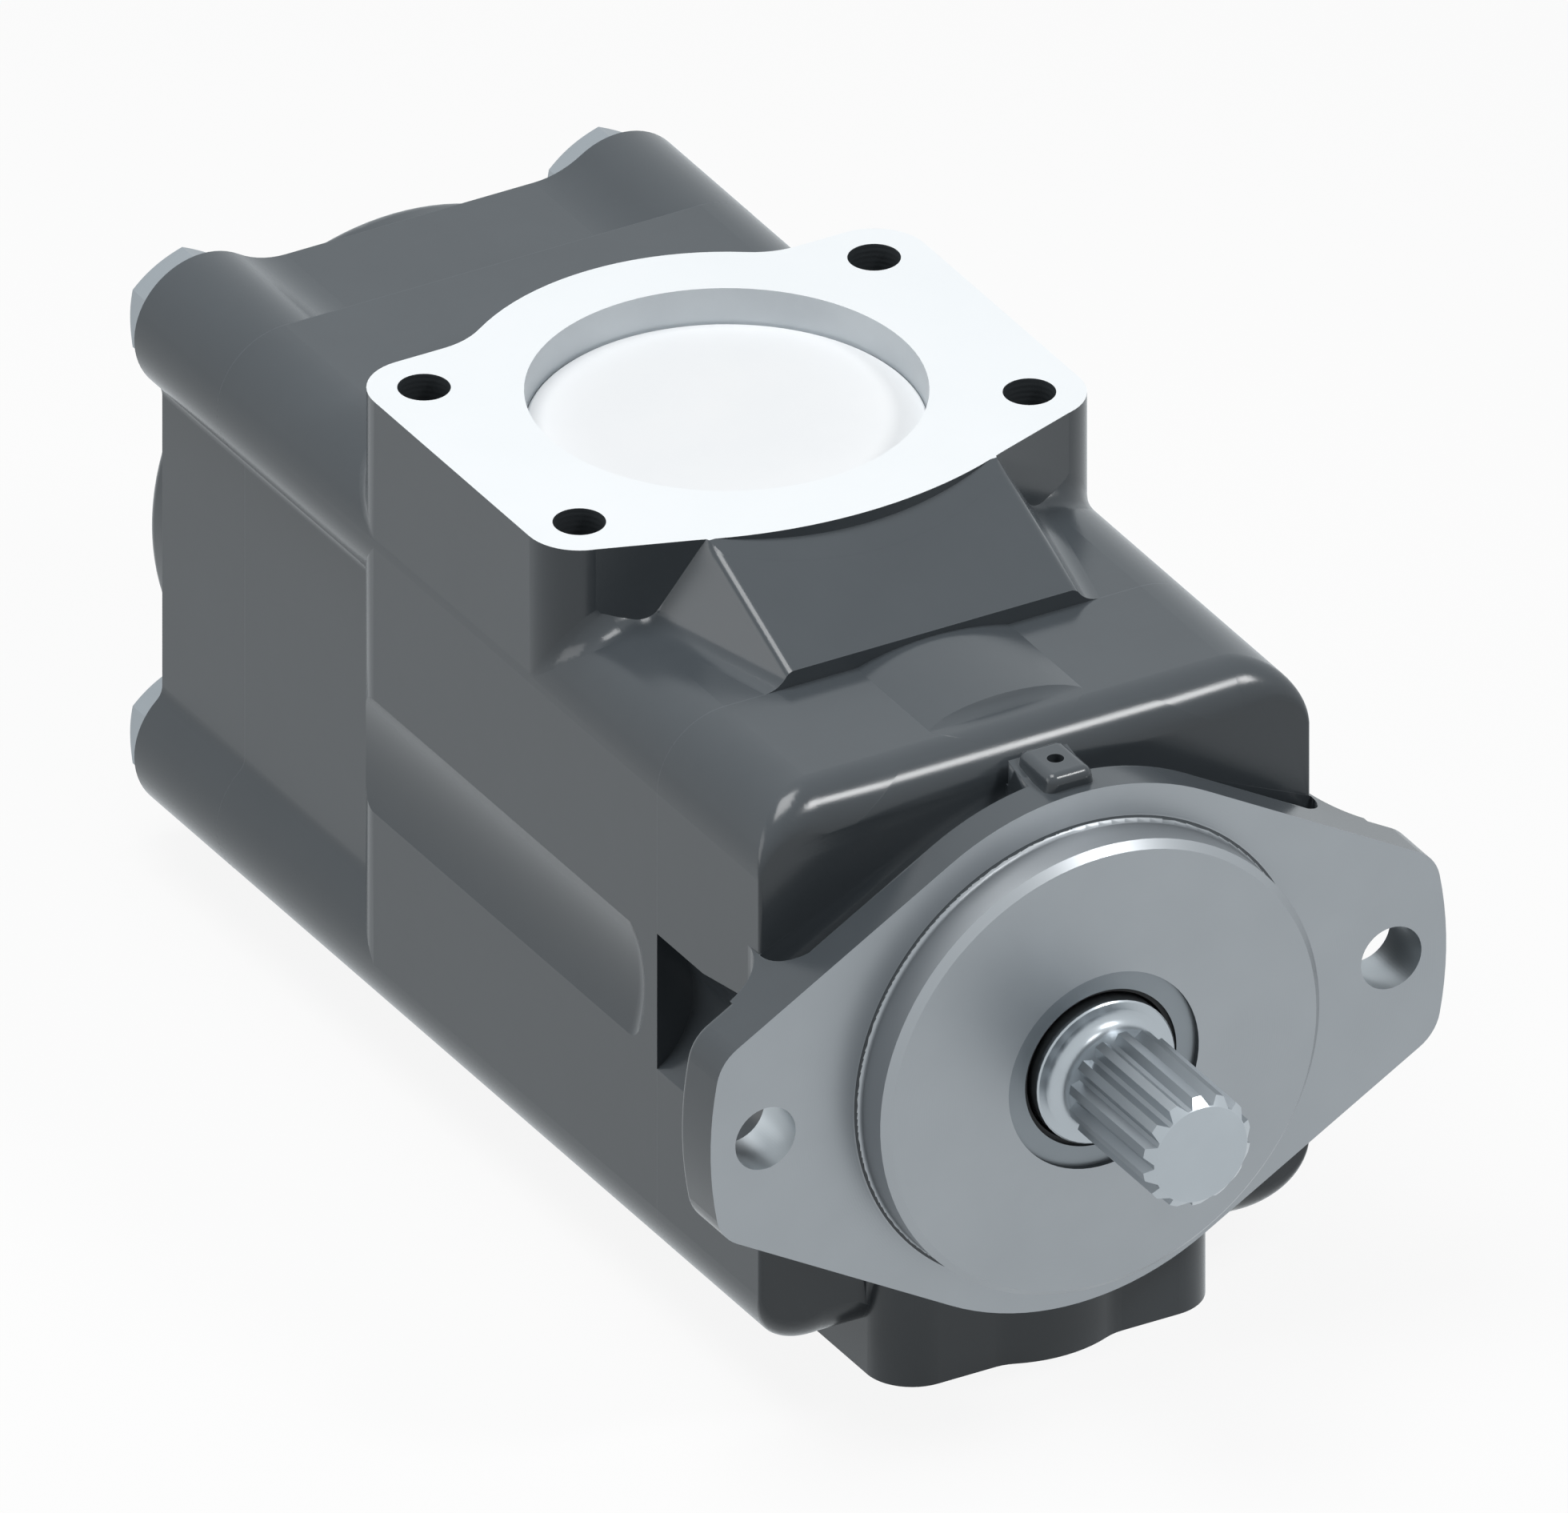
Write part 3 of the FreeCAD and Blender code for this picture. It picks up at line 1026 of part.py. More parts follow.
def all_nodes():
    """Every piece by its name."""
    nodes = {"mounting_cap": mounting_cap(), "centre_housing": centre_housing(), "rear_cap": rear_cap(),
             "tie_bolts": tie_bolts(), "suction_port_closure": suction_port_closure(),
             "drive_shaft": drive_shaft()}
    nodes["shaft_seal_case"], nodes["shaft_seal_lip"], nodes["seal_garter_spring"] = shaft_seal()
    nodes["front_cap_oring"] = cap_oring(FRONT_CARTRIDGE_BORE, CAP_JOINT, 1)
    nodes["rear_cap_oring"] = cap_oring(REAR_CARTRIDGE_BORE, REAR_JOINT, -1)
    bearings = {"front": ball_bearing(SHAFT_SEAL_RADIUS, FRONT_BEARING_OUTER, FRONT_BEARING_START,
                                      FRONT_BEARING_WIDTH, FRONT_BALL_RADIUS, FRONT_BALLS),
                "rear": ball_bearing(REAR_BEARING_BORE, REAR_BEARING_OUTER, REAR_BEARING_START,
                                     REAR_BEARING_WIDTH, REAR_BALL_RADIUS, REAR_BALLS)}
    for place, pieces in bearings.items():
        for name, piece in zip(("outer_ring", "inner_ring", "cage", "balls"), pieces):
            nodes[f"{place}_bearing_{name}"] = piece
    nodes["bearing_bore_circlip"] = open_ring(
        FRONT_BEARING_OUTER + CIRCLIP_BITE, FRONT_BEARING_OUTER - 2 * CIRCLIP_BITE, FRONT_BEARING_END,
        FRONT_BEARING_END + CIRCLIP_WIDTH, BORE_CIRCLIP_GAP, -1)
    nodes["shaft_circlip"] = open_ring(
        SHAFT_SEAL_RADIUS + 2 * CIRCLIP_BITE, SHAFT_SEAL_RADIUS - CIRCLIP_BITE, shaft_circlip_start(),
        FRONT_BEARING_START, SHAFT_CIRCLIP_GAP, 1)
    cartridges = {
        "front": cartridge(FRONT_CARTRIDGE_BORE, FRONT_CAM_MINOR, FRONT_CAM_MAJOR, FRONT_VANE_LENGTH,
                           FRONT_ROTOR_SPLINE_TEETH, SHAFT_FRONT_RADIUS, FRONT_CAM_START, FRONT_CAM_END,
                           FRONT_PLATE_THICKNESS, FRONT_INLET_PLATE, False),
        "rear": cartridge(REAR_CARTRIDGE_BORE, REAR_CAM_MINOR, REAR_CAM_MAJOR, REAR_VANE_LENGTH,
                          REAR_ROTOR_SPLINE_TEETH, SHAFT_MIDDLE_RADIUS, REAR_CAM_START, REAR_CAM_END,
                          REAR_PLATE_THICKNESS, REAR_INLET_PLATE, True)}
    for place, pieces in cartridges.items():
        for number, blade in enumerate(pieces.pop("vanes"), 1):
            nodes[f"{place}_vane_{number:02d}"] = blade
        for name, piece in pieces.items():
            nodes[f"{place}_{name}"] = piece
    return nodes


os.makedirs("parts", exist_ok=True)
for name, shape in all_nodes().items():
    shape.exportStep(f"parts/{name}.step")
    print(f"{name}: valid {shape.isValid()}, solids {len(shape.Solids)}, volume {shape.Volume:.0f}")
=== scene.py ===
# %% [markdown]
# The pump in this lesson is made of three iron castings in satin grey paint. Its flange face, its pilot and
# its port faces are machined bright after painting. The solids come from the CAD frame, which is loaded
# first. Its box is kept, and later steps take the pad's top, the port faces and the floor's height from it.

# %% Load the frame
import bpy
import json
from math import atan2, cos, pi, radians, sin, sqrt, tan
from mathutils import Matrix, Vector
from mathutils.bvhtree import BVHTree
from mathutils.geometry import barycentric_transform

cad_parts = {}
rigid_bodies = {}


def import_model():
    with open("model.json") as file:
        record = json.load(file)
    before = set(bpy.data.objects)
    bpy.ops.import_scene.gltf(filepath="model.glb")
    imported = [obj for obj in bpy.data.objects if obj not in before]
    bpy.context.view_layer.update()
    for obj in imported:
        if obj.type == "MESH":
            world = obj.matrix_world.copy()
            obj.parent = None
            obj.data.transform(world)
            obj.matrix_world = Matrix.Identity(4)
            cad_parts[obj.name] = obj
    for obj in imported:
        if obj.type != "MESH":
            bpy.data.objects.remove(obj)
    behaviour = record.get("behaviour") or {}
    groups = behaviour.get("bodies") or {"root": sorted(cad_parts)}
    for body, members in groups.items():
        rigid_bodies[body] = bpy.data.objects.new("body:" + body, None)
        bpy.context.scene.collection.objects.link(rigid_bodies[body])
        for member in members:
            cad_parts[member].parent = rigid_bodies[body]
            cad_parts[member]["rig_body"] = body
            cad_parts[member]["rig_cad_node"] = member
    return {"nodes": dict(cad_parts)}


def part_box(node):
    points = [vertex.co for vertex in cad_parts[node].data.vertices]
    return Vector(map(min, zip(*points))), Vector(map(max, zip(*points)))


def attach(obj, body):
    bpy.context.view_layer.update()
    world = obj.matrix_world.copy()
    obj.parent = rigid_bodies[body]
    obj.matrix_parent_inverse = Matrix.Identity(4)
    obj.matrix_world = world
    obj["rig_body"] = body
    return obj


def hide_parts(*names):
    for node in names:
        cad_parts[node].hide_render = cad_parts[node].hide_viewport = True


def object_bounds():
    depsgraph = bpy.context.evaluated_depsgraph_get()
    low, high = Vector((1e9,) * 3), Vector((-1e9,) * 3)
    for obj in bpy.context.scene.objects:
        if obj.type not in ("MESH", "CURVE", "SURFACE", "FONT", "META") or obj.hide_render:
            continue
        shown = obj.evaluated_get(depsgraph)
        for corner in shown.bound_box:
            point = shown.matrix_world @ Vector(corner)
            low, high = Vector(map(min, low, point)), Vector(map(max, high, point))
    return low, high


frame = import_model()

scene = bpy.context.scene
cad_low, cad_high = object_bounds()
print("CAD box in metres:", [round(v, 4) for v in cad_low], [round(v, 4) for v in cad_high])

# %% [markdown]
# The photograph is a parallel view without perspective, from the left of the shaft and above. So the camera
# is orthographic, at an azimuth of -30 degrees and an elevation of 30 degrees. The picture shows 4990 pixels
# per metre, and the middle of the picture lies left of and above the middle of the flange face.

# %% Camera
PICTURE_WIDTH = 1960
PIXELS_PER_METRE = 4990
AIM_RIGHT = -0.07375
AIM_UP = 0.07305
AZIMUTH = radians(-30)
ELEVATION = radians(30)
CAMERA_DISTANCE = 1.6

to_camera = Vector((sin(AZIMUTH) * cos(ELEVATION), -cos(AZIMUTH) * cos(ELEVATION), sin(ELEVATION)))
picture_right = Vector((cos(AZIMUTH), sin(AZIMUTH), 0))
picture_up = to_camera.cross(picture_right)
aim = picture_right * AIM_RIGHT + picture_up * AIM_UP

camera_data = bpy.data.cameras.new("photo_camera")
camera_data.type = "ORTHO"
camera_data.ortho_scale = PICTURE_WIDTH / PIXELS_PER_METRE
camera = bpy.data.objects.new("photo_camera", camera_data)
scene.collection.objects.link(camera)
turn = Matrix((picture_right, picture_up, to_camera)).transposed().to_4x4()
camera.matrix_world = Matrix.Translation(aim + to_camera * CAMERA_DISTANCE) @ turn
scene.camera = camera
scene.view_settings.view_transform = "Standard"
print("camera at", [round(v, 3) for v in camera.location], "width", round(camera_data.ortho_scale, 4), "m")

# %% [markdown]
# A material is a small network of nodes. Writing each link by hand makes long code, so these helpers add a
# node with its settings and join two sockets. Colours are given as they look on a screen, from 0 to 255, and
# are turned into the linear numbers that Blender works with.

# %% Node helpers
def linear(red, green, blue):
    """Screen colour to linear colour with alpha."""
    parts = []
    for value in (red, green, blue):
        share = value / 255
        parts.append(share / 12.92 if share <= 0.04045 else ((share + 0.055) / 1.055) ** 2.4)
    return (*parts, 1.0)


def add_node(tree, kind, inputs=None, **settings):
    """New node. The inputs are plain values or sockets of other nodes."""
    node = tree.nodes.new(kind)
    for name, value in settings.items():
        setattr(node, name, value)
    for name, value in (inputs or {}).items():
        if isinstance(value, bpy.types.NodeSocket):
            tree.links.new(value, node.inputs[name])
        else:
            node.inputs[name].default_value = value
    return node


def mix_colour(tree, factor, first, second):
    """Colour that goes from the first to the second with the factor."""
    mixed = add_node(tree, "ShaderNodeMix", {"Factor": factor, "A": first, "B": second}, data_type="RGBA")
    return mixed.outputs["Result"]


def new_group(name, inputs, outputs):
    """Empty shader group with its sockets. Returns its tree, its input node and its output node."""
    tree = bpy.data.node_groups.new(name, "ShaderNodeTree")
    for socket, kind in inputs.items():
        tree.interface.new_socket(socket, in_out="INPUT", socket_type=f"NodeSocket{kind}")
    for socket, kind in outputs.items():
        tree.interface.new_socket(socket, in_out="OUTPUT", socket_type=f"NodeSocket{kind}")
    return tree, tree.nodes.new("NodeGroupInput"), tree.nodes.new("NodeGroupOutput")


def place_group(tree, group, inputs):
    """A group's node in a material."""
    return add_node(tree, "ShaderNodeGroup", inputs, node_tree=group)


def new_material(name, roughness, metallic=0.0):
    """Material with an object coordinate and a Principled shader, whose constants are set on its sockets."""
    material = bpy.data.materials.new(name)
    material.use_nodes = True
    tree = material.node_tree
    shader = tree.nodes["Principled BSDF"]
    shader.inputs["Roughness"].default_value = roughness
    shader.inputs["Metallic"].default_value = metallic
    place = add_node(tree, "ShaderNodeTexCoord").outputs["Object"]
    return material, tree, shader, place


def join(tree, source, shader, socket):
    """Link a source to one of the shader's sockets."""
    tree.links.new(source, shader.inputs[socket])


print("helpers ready")

# %% [markdown]
# Sand-cast iron keeps the print of the sand under its paint: a fine grain with a few larger, softer
# swellings. Noise of two sizes gives both. Every painted casting uses it, so it is one shader group. It puts
# out a height for the bump and a slow mottling for the colour and the gloss.

# %% Group for the cast grain under paint
def make_cast_grain():
    """Shader group for the print of the sand."""
    tree, inlet, outlet = new_group("cast_grain", {"Place": "Vector", "Grain per metre": "Float"},
                                    {"Height": "Float", "Mottling": "Float"})
    grain = add_node(tree, "ShaderNodeTexNoise", {"Vector": inlet.outputs["Place"],
                                                  "Scale": inlet.outputs["Grain per metre"],
                                                  "Detail": 3.0, "Roughness": 0.55})
    swell = add_node(tree, "ShaderNodeTexNoise", {"Vector": inlet.outputs["Place"], "Scale": 90.0,
                                                  "Detail": 2.0, "Roughness": 0.5})
    mottling = add_node(tree, "ShaderNodeTexNoise", {"Vector": inlet.outputs["Place"], "Scale": 28.0,
                                                     "Detail": 4.0, "Roughness": 0.6})
    height = add_node(tree, "ShaderNodeMath", {0: swell.outputs["Fac"], 1: grain.outputs["Fac"],
                                               2: grain.outputs["Fac"]}, operation="MULTIPLY_ADD")
    tree.links.new(height.outputs["Value"], outlet.inputs["Height"])
    tree.links.new(mottling.outputs["Fac"], outlet.inputs["Mottling"])
    return tree


cast_grain = make_cast_grain()
print("group", cast_grain.name, "with", len(cast_grain.nodes), "nodes")

# %% [markdown]
# The edges are painted a little lighter, a painted highlight where a rounded edge catches the light. The
# Bevel node looks at the surface near a point and returns a rounded normal. Where that differs from the true
# normal there is an edge, so the difference of the two, times a strength, is a mask for the painted
# highlight.

# %% Group for edges
def make_edge_mask():
    """Shader group that finds the edges."""
    tree, inlet, outlet = new_group("edge_mask", {"Width": "Float", "Strength": "Float"}, {"Mask": "Float"})
    bevel = add_node(tree, "ShaderNodeBevel", {"Radius": inlet.outputs["Width"]}, samples=4)
    true_normal = add_node(tree, "ShaderNodeNewGeometry").outputs["Normal"]
    likeness = add_node(tree, "ShaderNodeVectorMath", {0: bevel.outputs["Normal"], 1: true_normal},
                        operation="DOT_PRODUCT")
    difference = add_node(tree, "ShaderNodeMath", {0: 1.0, 1: likeness.outputs["Value"]},
                          operation="SUBTRACT")
    mask = add_node(tree, "ShaderNodeMath", {0: difference.outputs["Value"], 1: inlet.outputs["Strength"]},
                    operation="MULTIPLY", use_clamp=True)
    tree.links.new(mask.outputs["Value"], outlet.inputs["Mask"])
    return tree


edge_mask = make_edge_mask()
print("group", edge_mask.name, "with", len(edge_mask.nodes), "nodes")

# %% [markdown]
# A lathe or a mill leaves very fine lines. On a turned face they are circles about the shaft, and on a milled
# face they are straight. One group makes both: it takes a distance, from the centre or along the cut, and
# returns fine lines with a little unevenness for the bump.

# %% Group for tool marks
def make_tool_marks():
    """Shader group for fine lines across a distance."""
    tree, inlet, outlet = new_group("tool_marks", {"Distance": "Float", "Place": "Vector",
                                                   "Lines per metre": "Float"}, {"Height": "Float"})
    uneven = add_node(tree, "ShaderNodeTexNoise", {"Vector": inlet.outputs["Place"], "Scale": 260.0,
                                                   "Detail": 2.0})
    turns = add_node(tree, "ShaderNodeMath", {0: inlet.outputs["Distance"],
                                              1: inlet.outputs["Lines per metre"]}, operation="MULTIPLY")
    shifted = add_node(tree, "ShaderNodeMath", {0: turns.outputs["Value"], 1: uneven.outputs["Fac"]},
                       operation="ADD")
    wave = add_node(tree, "ShaderNodeMath", {0: shifted.outputs["Value"]}, operation="SINE")
    height = add_node(tree, "ShaderNodeMath", {0: wave.outputs["Value"], 1: uneven.outputs["Fac"]},
                      operation="MULTIPLY")
    tree.links.new(height.outputs["Value"], outlet.inputs["Height"])
    return tree


tool_marks = make_tool_marks()
print("group", tool_marks.name, "with", len(tool_marks.nodes), "nodes")

# %% [markdown]
# The castings' paint is a dark blue-grey with a satin gloss. The grain is only just visible, the mottling
# changes the tone by a few percent, and a painted highlight makes the edges a little lighter.

# %% Painted iron
def make_painted_iron():
    """Satin paint on cast iron, with a painted highlight that makes the edges a little lighter."""
    material, tree, shader, place = new_material("painted_iron", 0.5)
    grain = place_group(tree, cast_grain, {"Place": place, "Grain per metre": 1500.0})
    edges = place_group(tree, edge_mask, {"Width": 0.0005, "Strength": 1.3})
    tone = mix_colour(tree, grain.outputs["Mottling"], linear(72, 78, 83), linear(80, 86, 91))
    # painted highlight: the edge mask mixes the tone towards a light grey along the edges
    edge_highlight = mix_colour(tree, edges.outputs["Mask"], tone, linear(110, 116, 121))
    join(tree, edge_highlight, shader, "Base Color")
    gloss = add_node(tree, "ShaderNodeMapRange", {"Value": grain.outputs["Mottling"], "To Min": 0.17,
                                                  "To Max": 0.24})
    join(tree, gloss.outputs["Result"], shader, "Roughness")
    bump = add_node(tree, "ShaderNodeBump", {"Height": grain.outputs["Height"], "Strength": 0.12,
                                             "Distance": 0.00008})
    join(tree, bump.outputs["Normal"], shader, "Normal")
    return material


painted_iron = make_painted_iron()
print("material", painted_iron.name)

# %% [markdown]
# The machined faces are bare iron: grey metal with tool marks. The flange face and the pilot are turned, so
# their marks are circles about the shaft. The port faces are milled in straight lines, and they are brighter.

# %% Machined iron
def distance_from_shaft(tree, place):
    """Distance of the point from the shaft axis."""
    flat = add_node(tree, "ShaderNodeVectorMath", {0: place, 1: (1, 0, 1)}, operation="MULTIPLY")
    length = add_node(tree, "ShaderNodeVectorMath", {0: flat.outputs["Vector"]}, operation="LENGTH")
    return length.outputs["Value"]


def distance_along_y(tree, place):
    """Place of the point along the pump."""
    return add_node(tree, "ShaderNodeSeparateXYZ", {"Vector": place}).outputs["Y"]


def distance_along_z(tree, place):
    """Height of the point."""
    return add_node(tree, "ShaderNodeSeparateXYZ", {"Vector": place}).outputs["Z"]


def make_machined(name, dark, light, roughness, metallic, distance, lines, strength):
    """Bare machined metal with tool marks and a faint stain."""
    material, tree, shader, place = new_material(name, roughness, metallic)
    stain = add_node(tree, "ShaderNodeTexNoise", {"Vector": place, "Scale": 45.0, "Detail": 5.0})
    join(tree, mix_colour(tree, stain.outputs["Fac"], linear(*dark), linear(*light)), shader, "Base Color")
    marks = place_group(tree, tool_marks, {"Distance": distance(tree, place), "Place": place,
                                           "Lines per metre": lines})
    bump = add_node(tree, "ShaderNodeBump", {"Height": marks.outputs["Height"], "Strength": strength,
                                             "Distance": 0.00003})
    join(tree, bump.outputs["Normal"], shader, "Normal")
    return material


turned_iron = make_machined("turned_iron", (158, 161, 164), (166, 169, 172), 0.4, 1.0, distance_from_shaft,
                            9000.0, 0.10)
milled_face = make_machined("milled_face", (248, 250, 251), (253, 254, 255), 0.3, 0.5, distance_along_y,
                            8000.0, 0.05)
bored_iron = make_machined("bored_iron", (178, 183, 187), (196, 201, 204), 0.4, 0.8, distance_along_z,
                           12000.0, 0.15)
# partly the thread's own dull grey, partly painted shade inside the narrow holes
thread_and_hole_shade = make_machined("thread_and_hole_shade", (60, 65, 68), (84, 89, 93), 0.5, 0.3, distance_along_z,
                              4200.0, 0.8)
# painted shade: the seal's bore is dark grey for the shade inside the recess round the shaft
bore_painted_shade = make_machined("bore_painted_shade", (70, 74, 77), (92, 96, 99), 0.55, 0.4, distance_along_y, 6000.0, 0.2)
print("materials", turned_iron.name, milled_face.name, bored_iron.name, thread_and_hole_shade.name, bore_painted_shade.name)

# %% [markdown]
# The shaft is ground steel, the bolts are plated, and the seal has a pressed metal case with a black rubber
# lip. The pieces inside the pump cannot be seen, but they get their real finishes too.

# %% Steel, rubber, brass and plastic
ground_steel = make_machined("ground_steel", (172, 177, 181), (186, 191, 195), 0.3, 1.0, distance_along_y,
                             14000.0, 0.08)
plated_steel = make_machined("plated_steel", (152, 157, 161), (166, 171, 175), 0.38, 1.0, distance_along_y,
                             3000.0, 0.05)
pressed_steel = make_machined("pressed_steel", (128, 133, 137), (142, 147, 151), 0.4, 1.0,
                              distance_from_shaft, 5000.0, 0.08)
bearing_steel = make_machined("bearing_steel", (188, 192, 196), (206, 210, 214), 0.18, 1.0,
                              distance_from_shaft, 16000.0, 0.04)
hardened_steel = make_machined("hardened_steel", (150, 152, 156), (172, 174, 178), 0.3, 1.0,
                               distance_along_y, 12000.0, 0.08)
brass = make_machined("brass_cage", (190, 152, 84), (208, 170, 100), 0.35, 1.0, distance_from_shaft, 7000.0,
                      0.1)
black_rubber = make_machined("black_rubber", (22, 23, 24), (32, 33, 34), 0.62, 0.0, distance_from_shaft,
                             3000.0, 0.2)
white_plastic = make_machined("white_plastic", (244, 246, 248), (250, 251, 252), 0.45, 0.0, distance_along_y,
                              2500.0, 0.03)
print("materials made:", len(bpy.data.materials))

# %% [markdown]
# The frame's nodes keep the exact normals of the solids, so their fillets already shade smoothly. Merging
# their points would lose those normals. So most nodes are finished as they are: a node first gets its main
# material, and then the faces that carry another finish get another material slot.

# %% Painting a node
def deselect():
    """Nothing selected."""
    bpy.ops.object.select_all(action="DESELECT")


def finish_node(name, material):
    """Main material of a CAD node."""
    slots = frame["nodes"][name].data.materials
    slots.clear()
    slots.append(material)


def repaint(piece, material, chosen):
    """Give the faces that the test picks, by their middle and their normal, another material."""
    piece.data.materials.append(material)
    slot = len(piece.data.materials) - 1
    count = 0
    for face in piece.data.polygons:
        if chosen(face.center, face.normal):
            face.material_index = slot
            count += 1
    print(f"  {piece.name}: {count} faces of {material.name}")


# %% [markdown]
# Two castings are reworked where the solids are plainer: the recess behind the flange's rim, the toe of the
# swelling on the cap, and the front of the suction pad. Each is a boolean with a modelled tool on a merged
# copy of the node. A boolean loses the exact normals, so afterwards every corner that still lies on a face of
# the node takes its normal back.

# %% Tools for reworking a casting
MERGE_DISTANCE = 0.000002
SAME_SURFACE = 0.000003
SMOOTH_ANGLE = radians(35)
CORNER_INSET = 0.02
SAME_FACING = 0.9999
NEAR_FACING = 0.98


def only_active(piece):
    """Select one object and make it the active one."""
    deselect()
    piece.select_set(True)
    bpy.context.view_layer.objects.active = piece


def edit(piece):
    """Enter edit mode with nothing selected."""
    only_active(piece)
    bpy.ops.object.mode_set(mode="EDIT")
    bpy.ops.mesh.select_all(action="DESELECT")


def leave_edit():
    """Back to object mode."""
    bpy.ops.object.mode_set(mode="OBJECT")


def round_edges(tool, chosen, radius, segments):
    """Bevel the edges that the test picks by their two ends."""
    edit(tool)
    leave_edit()
    for edge in tool.data.edges:
        start, end = (tool.data.vertices[number].co for number in edge.vertices)
        edge.select = chosen(start, end)
    bpy.ops.object.mode_set(mode="EDIT")
    bpy.ops.mesh.bevel(offset=radius, segments=segments, affect="EDGES", clamp_overlap=False)
    leave_edit()


def merged_copy(node, name):
    """Copy of a CAD node with its loose triangles merged."""
    source = frame["nodes"][node]
    piece = source.copy()
    piece.data = source.data.copy()
    piece.name = name
    piece.parent = None
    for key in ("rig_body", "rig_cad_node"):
        if key in piece:
            del piece[key]
    scene.collection.objects.link(piece)
    edit(piece)
    bpy.ops.mesh.select_all(action="SELECT")
    bpy.ops.mesh.remove_doubles(threshold=MERGE_DISTANCE)
    leave_edit()
    return piece


def combine(piece, tool, operation):
    """Apply a boolean with a tool and throw the tool away."""
    only_active(piece)
    modifier = piece.modifiers.new("combine", "BOOLEAN")
    modifier.operation = operation
    modifier.solver = "EXACT"
    modifier.object = tool
    bpy.ops.object.modifier_apply(modifier=modifier.name)
    bpy.data.objects.remove(tool)


def restore_normals(piece, node, exact):
    """Take the node's own normals at corners that still lie on it, and exact ones at the others it knows."""
    source = frame["nodes"][node].data
    points = [vertex.co for vertex in source.vertices]
    faces = [tuple(face.vertices) for face in source.polygons]
    starts = [face.loop_start for face in source.polygons]
    own = [normal.vector.copy() for normal in source.corner_normals]
    tree = BVHTree.FromPolygons(points, faces)
    only_active(piece)
    bpy.ops.object.shade_smooth_by_angle(angle=SMOOTH_ANGLE)
    mesh = piece.data
    normals = [normal.vector.copy() for normal in mesh.corner_normals]
    kept = 0
    for face in mesh.polygons:
        for corner in face.loop_indices:
            place = mesh.vertices[mesh.loops[corner].vertex_index].co
            inside = place.lerp(face.center, CORNER_INSET)
            _, facing, index, distance = tree.find_nearest(inside)
            if distance > SAME_SURFACE or facing.dot(face.normal) < SAME_FACING:
                normals[corner] = exact(place, face.normal) or normals[corner]
                continue
            corners = [points[number] for number in faces[index]]
            start = starts[index]
            normals[corner] = barycentric_transform(place, *corners, *own[start:start + 3]).normalized()
            kept += 1
    mesh.normals_split_custom_set(normals)
    print(f"  {piece.name}: {kept} of {len(mesh.loops)} corners keep the normal of the solid")


def rework(node, name, steps, exact):
    """Painted copy of a CAD node, changed by booleans and with its normals restored."""
    piece = merged_copy(node, name)
    for tool, operation in steps:
        combine(piece, tool, operation)
    restore_normals(piece, node, exact)
    piece.data.materials.clear()
    piece.data.materials.append(painted_iron)
    for face in piece.data.polygons:
        face.material_index = 0
    return piece


print("tools ready")

# %% [markdown]
# The tools that cut and fill start as boxes and cylinders. Their places are baked in, so that each tool's own
# points can be tested and moved in the pump's frame.

# %% Plain tools
TOOL_TALL = 0.1200
TOOL_DEEP = 0.0300
MARGIN = 0.0010
SKIN = 0.00002
ALONG_X = (0, radians(90), 0)
ALONG_Y = (radians(90), 0, 0)


def bake_place():
    """Leave the active object at the origin, unrotated and unscaled."""
    bpy.ops.object.transform_apply(location=True, rotation=True, scale=True)


def box_tool(name, low, high):
    """Plain box between two corners."""
    deselect()
    middle = [(a + b) / 2 for a, b in zip(low, high)]
    bpy.ops.mesh.primitive_cube_add(size=1, location=middle)
    tool = bpy.context.object
    tool.name = name
    tool.scale = [b - a for a, b in zip(low, high)]
    bake_place()
    return tool


def cylinder_tool(facets, radius, length, middle, direction):
    """Plain cylinder about its middle."""
    deselect()
    bpy.ops.mesh.primitive_cylinder_add(vertices=facets, radius=radius, depth=length, location=middle,
                                        rotation=direction)
    bake_place()
    return bpy.context.object


print("plain tools ready")

# %% [markdown]
# Behind the flange's rim the casting is relieved: a groove runs round the neck from the weep lug to the cap's
# upright edge, with a hollow foot on the front wall. The tool is a plate with the neck's outline cut out of
# it. Its inner back edge is rounded for the hollow foot, and its upright ends are rounded as the groove ends.

# %% Groove tool
GROOVE_FRONT = 0.0100
GROOVE_BACK = 0.02163
GROOVE_WIDE = 0.0900
GROOVE_TALL = 0.1000
GROOVE_END = 0.0797
GROOVE_END_ROUND = 0.0124
GROOVE_END_STEPS = 16
GROOVE_FOOT = 0.0085
GROOVE_FOOT_STEPS = 10
NECK_REACH = 0.0600
NECK_FACETS = 144
NECK_SPARE = 0.0100
EAR_SLOPE = radians(30)
EAR_CORNERS = 6
LUG_CLEAR = 0.0085
PORT_CLEAR = 0.0490
TOUCH = 0.000001
FACET_SAG = 0.0003


def neck_core(distance):
    """Round neck with its two pointed ears, a little deeper than the groove."""
    middle = (0, (GROOVE_FRONT + GROOVE_BACK) / 2, 0)
    length = GROOVE_BACK - GROOVE_FRONT + NECK_SPARE
    ears = cylinder_tool(EAR_CORNERS, distance, length, middle, ALONG_Y)
    touch_x = distance * sin(EAR_SLOPE)
    touch_z = distance * cos(EAR_SLOPE)
    tip_x = distance / sin(EAR_SLOPE)
    corners = [(touch_x, touch_z), (tip_x, 0), (touch_x, -touch_z), (-touch_x, -touch_z), (-tip_x, 0),
               (-touch_x, touch_z)]
    for vertex in ears.data.vertices:
        turn = atan2(vertex.co.x, vertex.co.z) / (2 * pi)
        vertex.co.x, vertex.co.z = corners[round(turn * EAR_CORNERS) % EAR_CORNERS]
    neck = cylinder_tool(NECK_FACETS, distance, length, middle, ALONG_Y)
    combine(neck, ears, "UNION")
    return neck


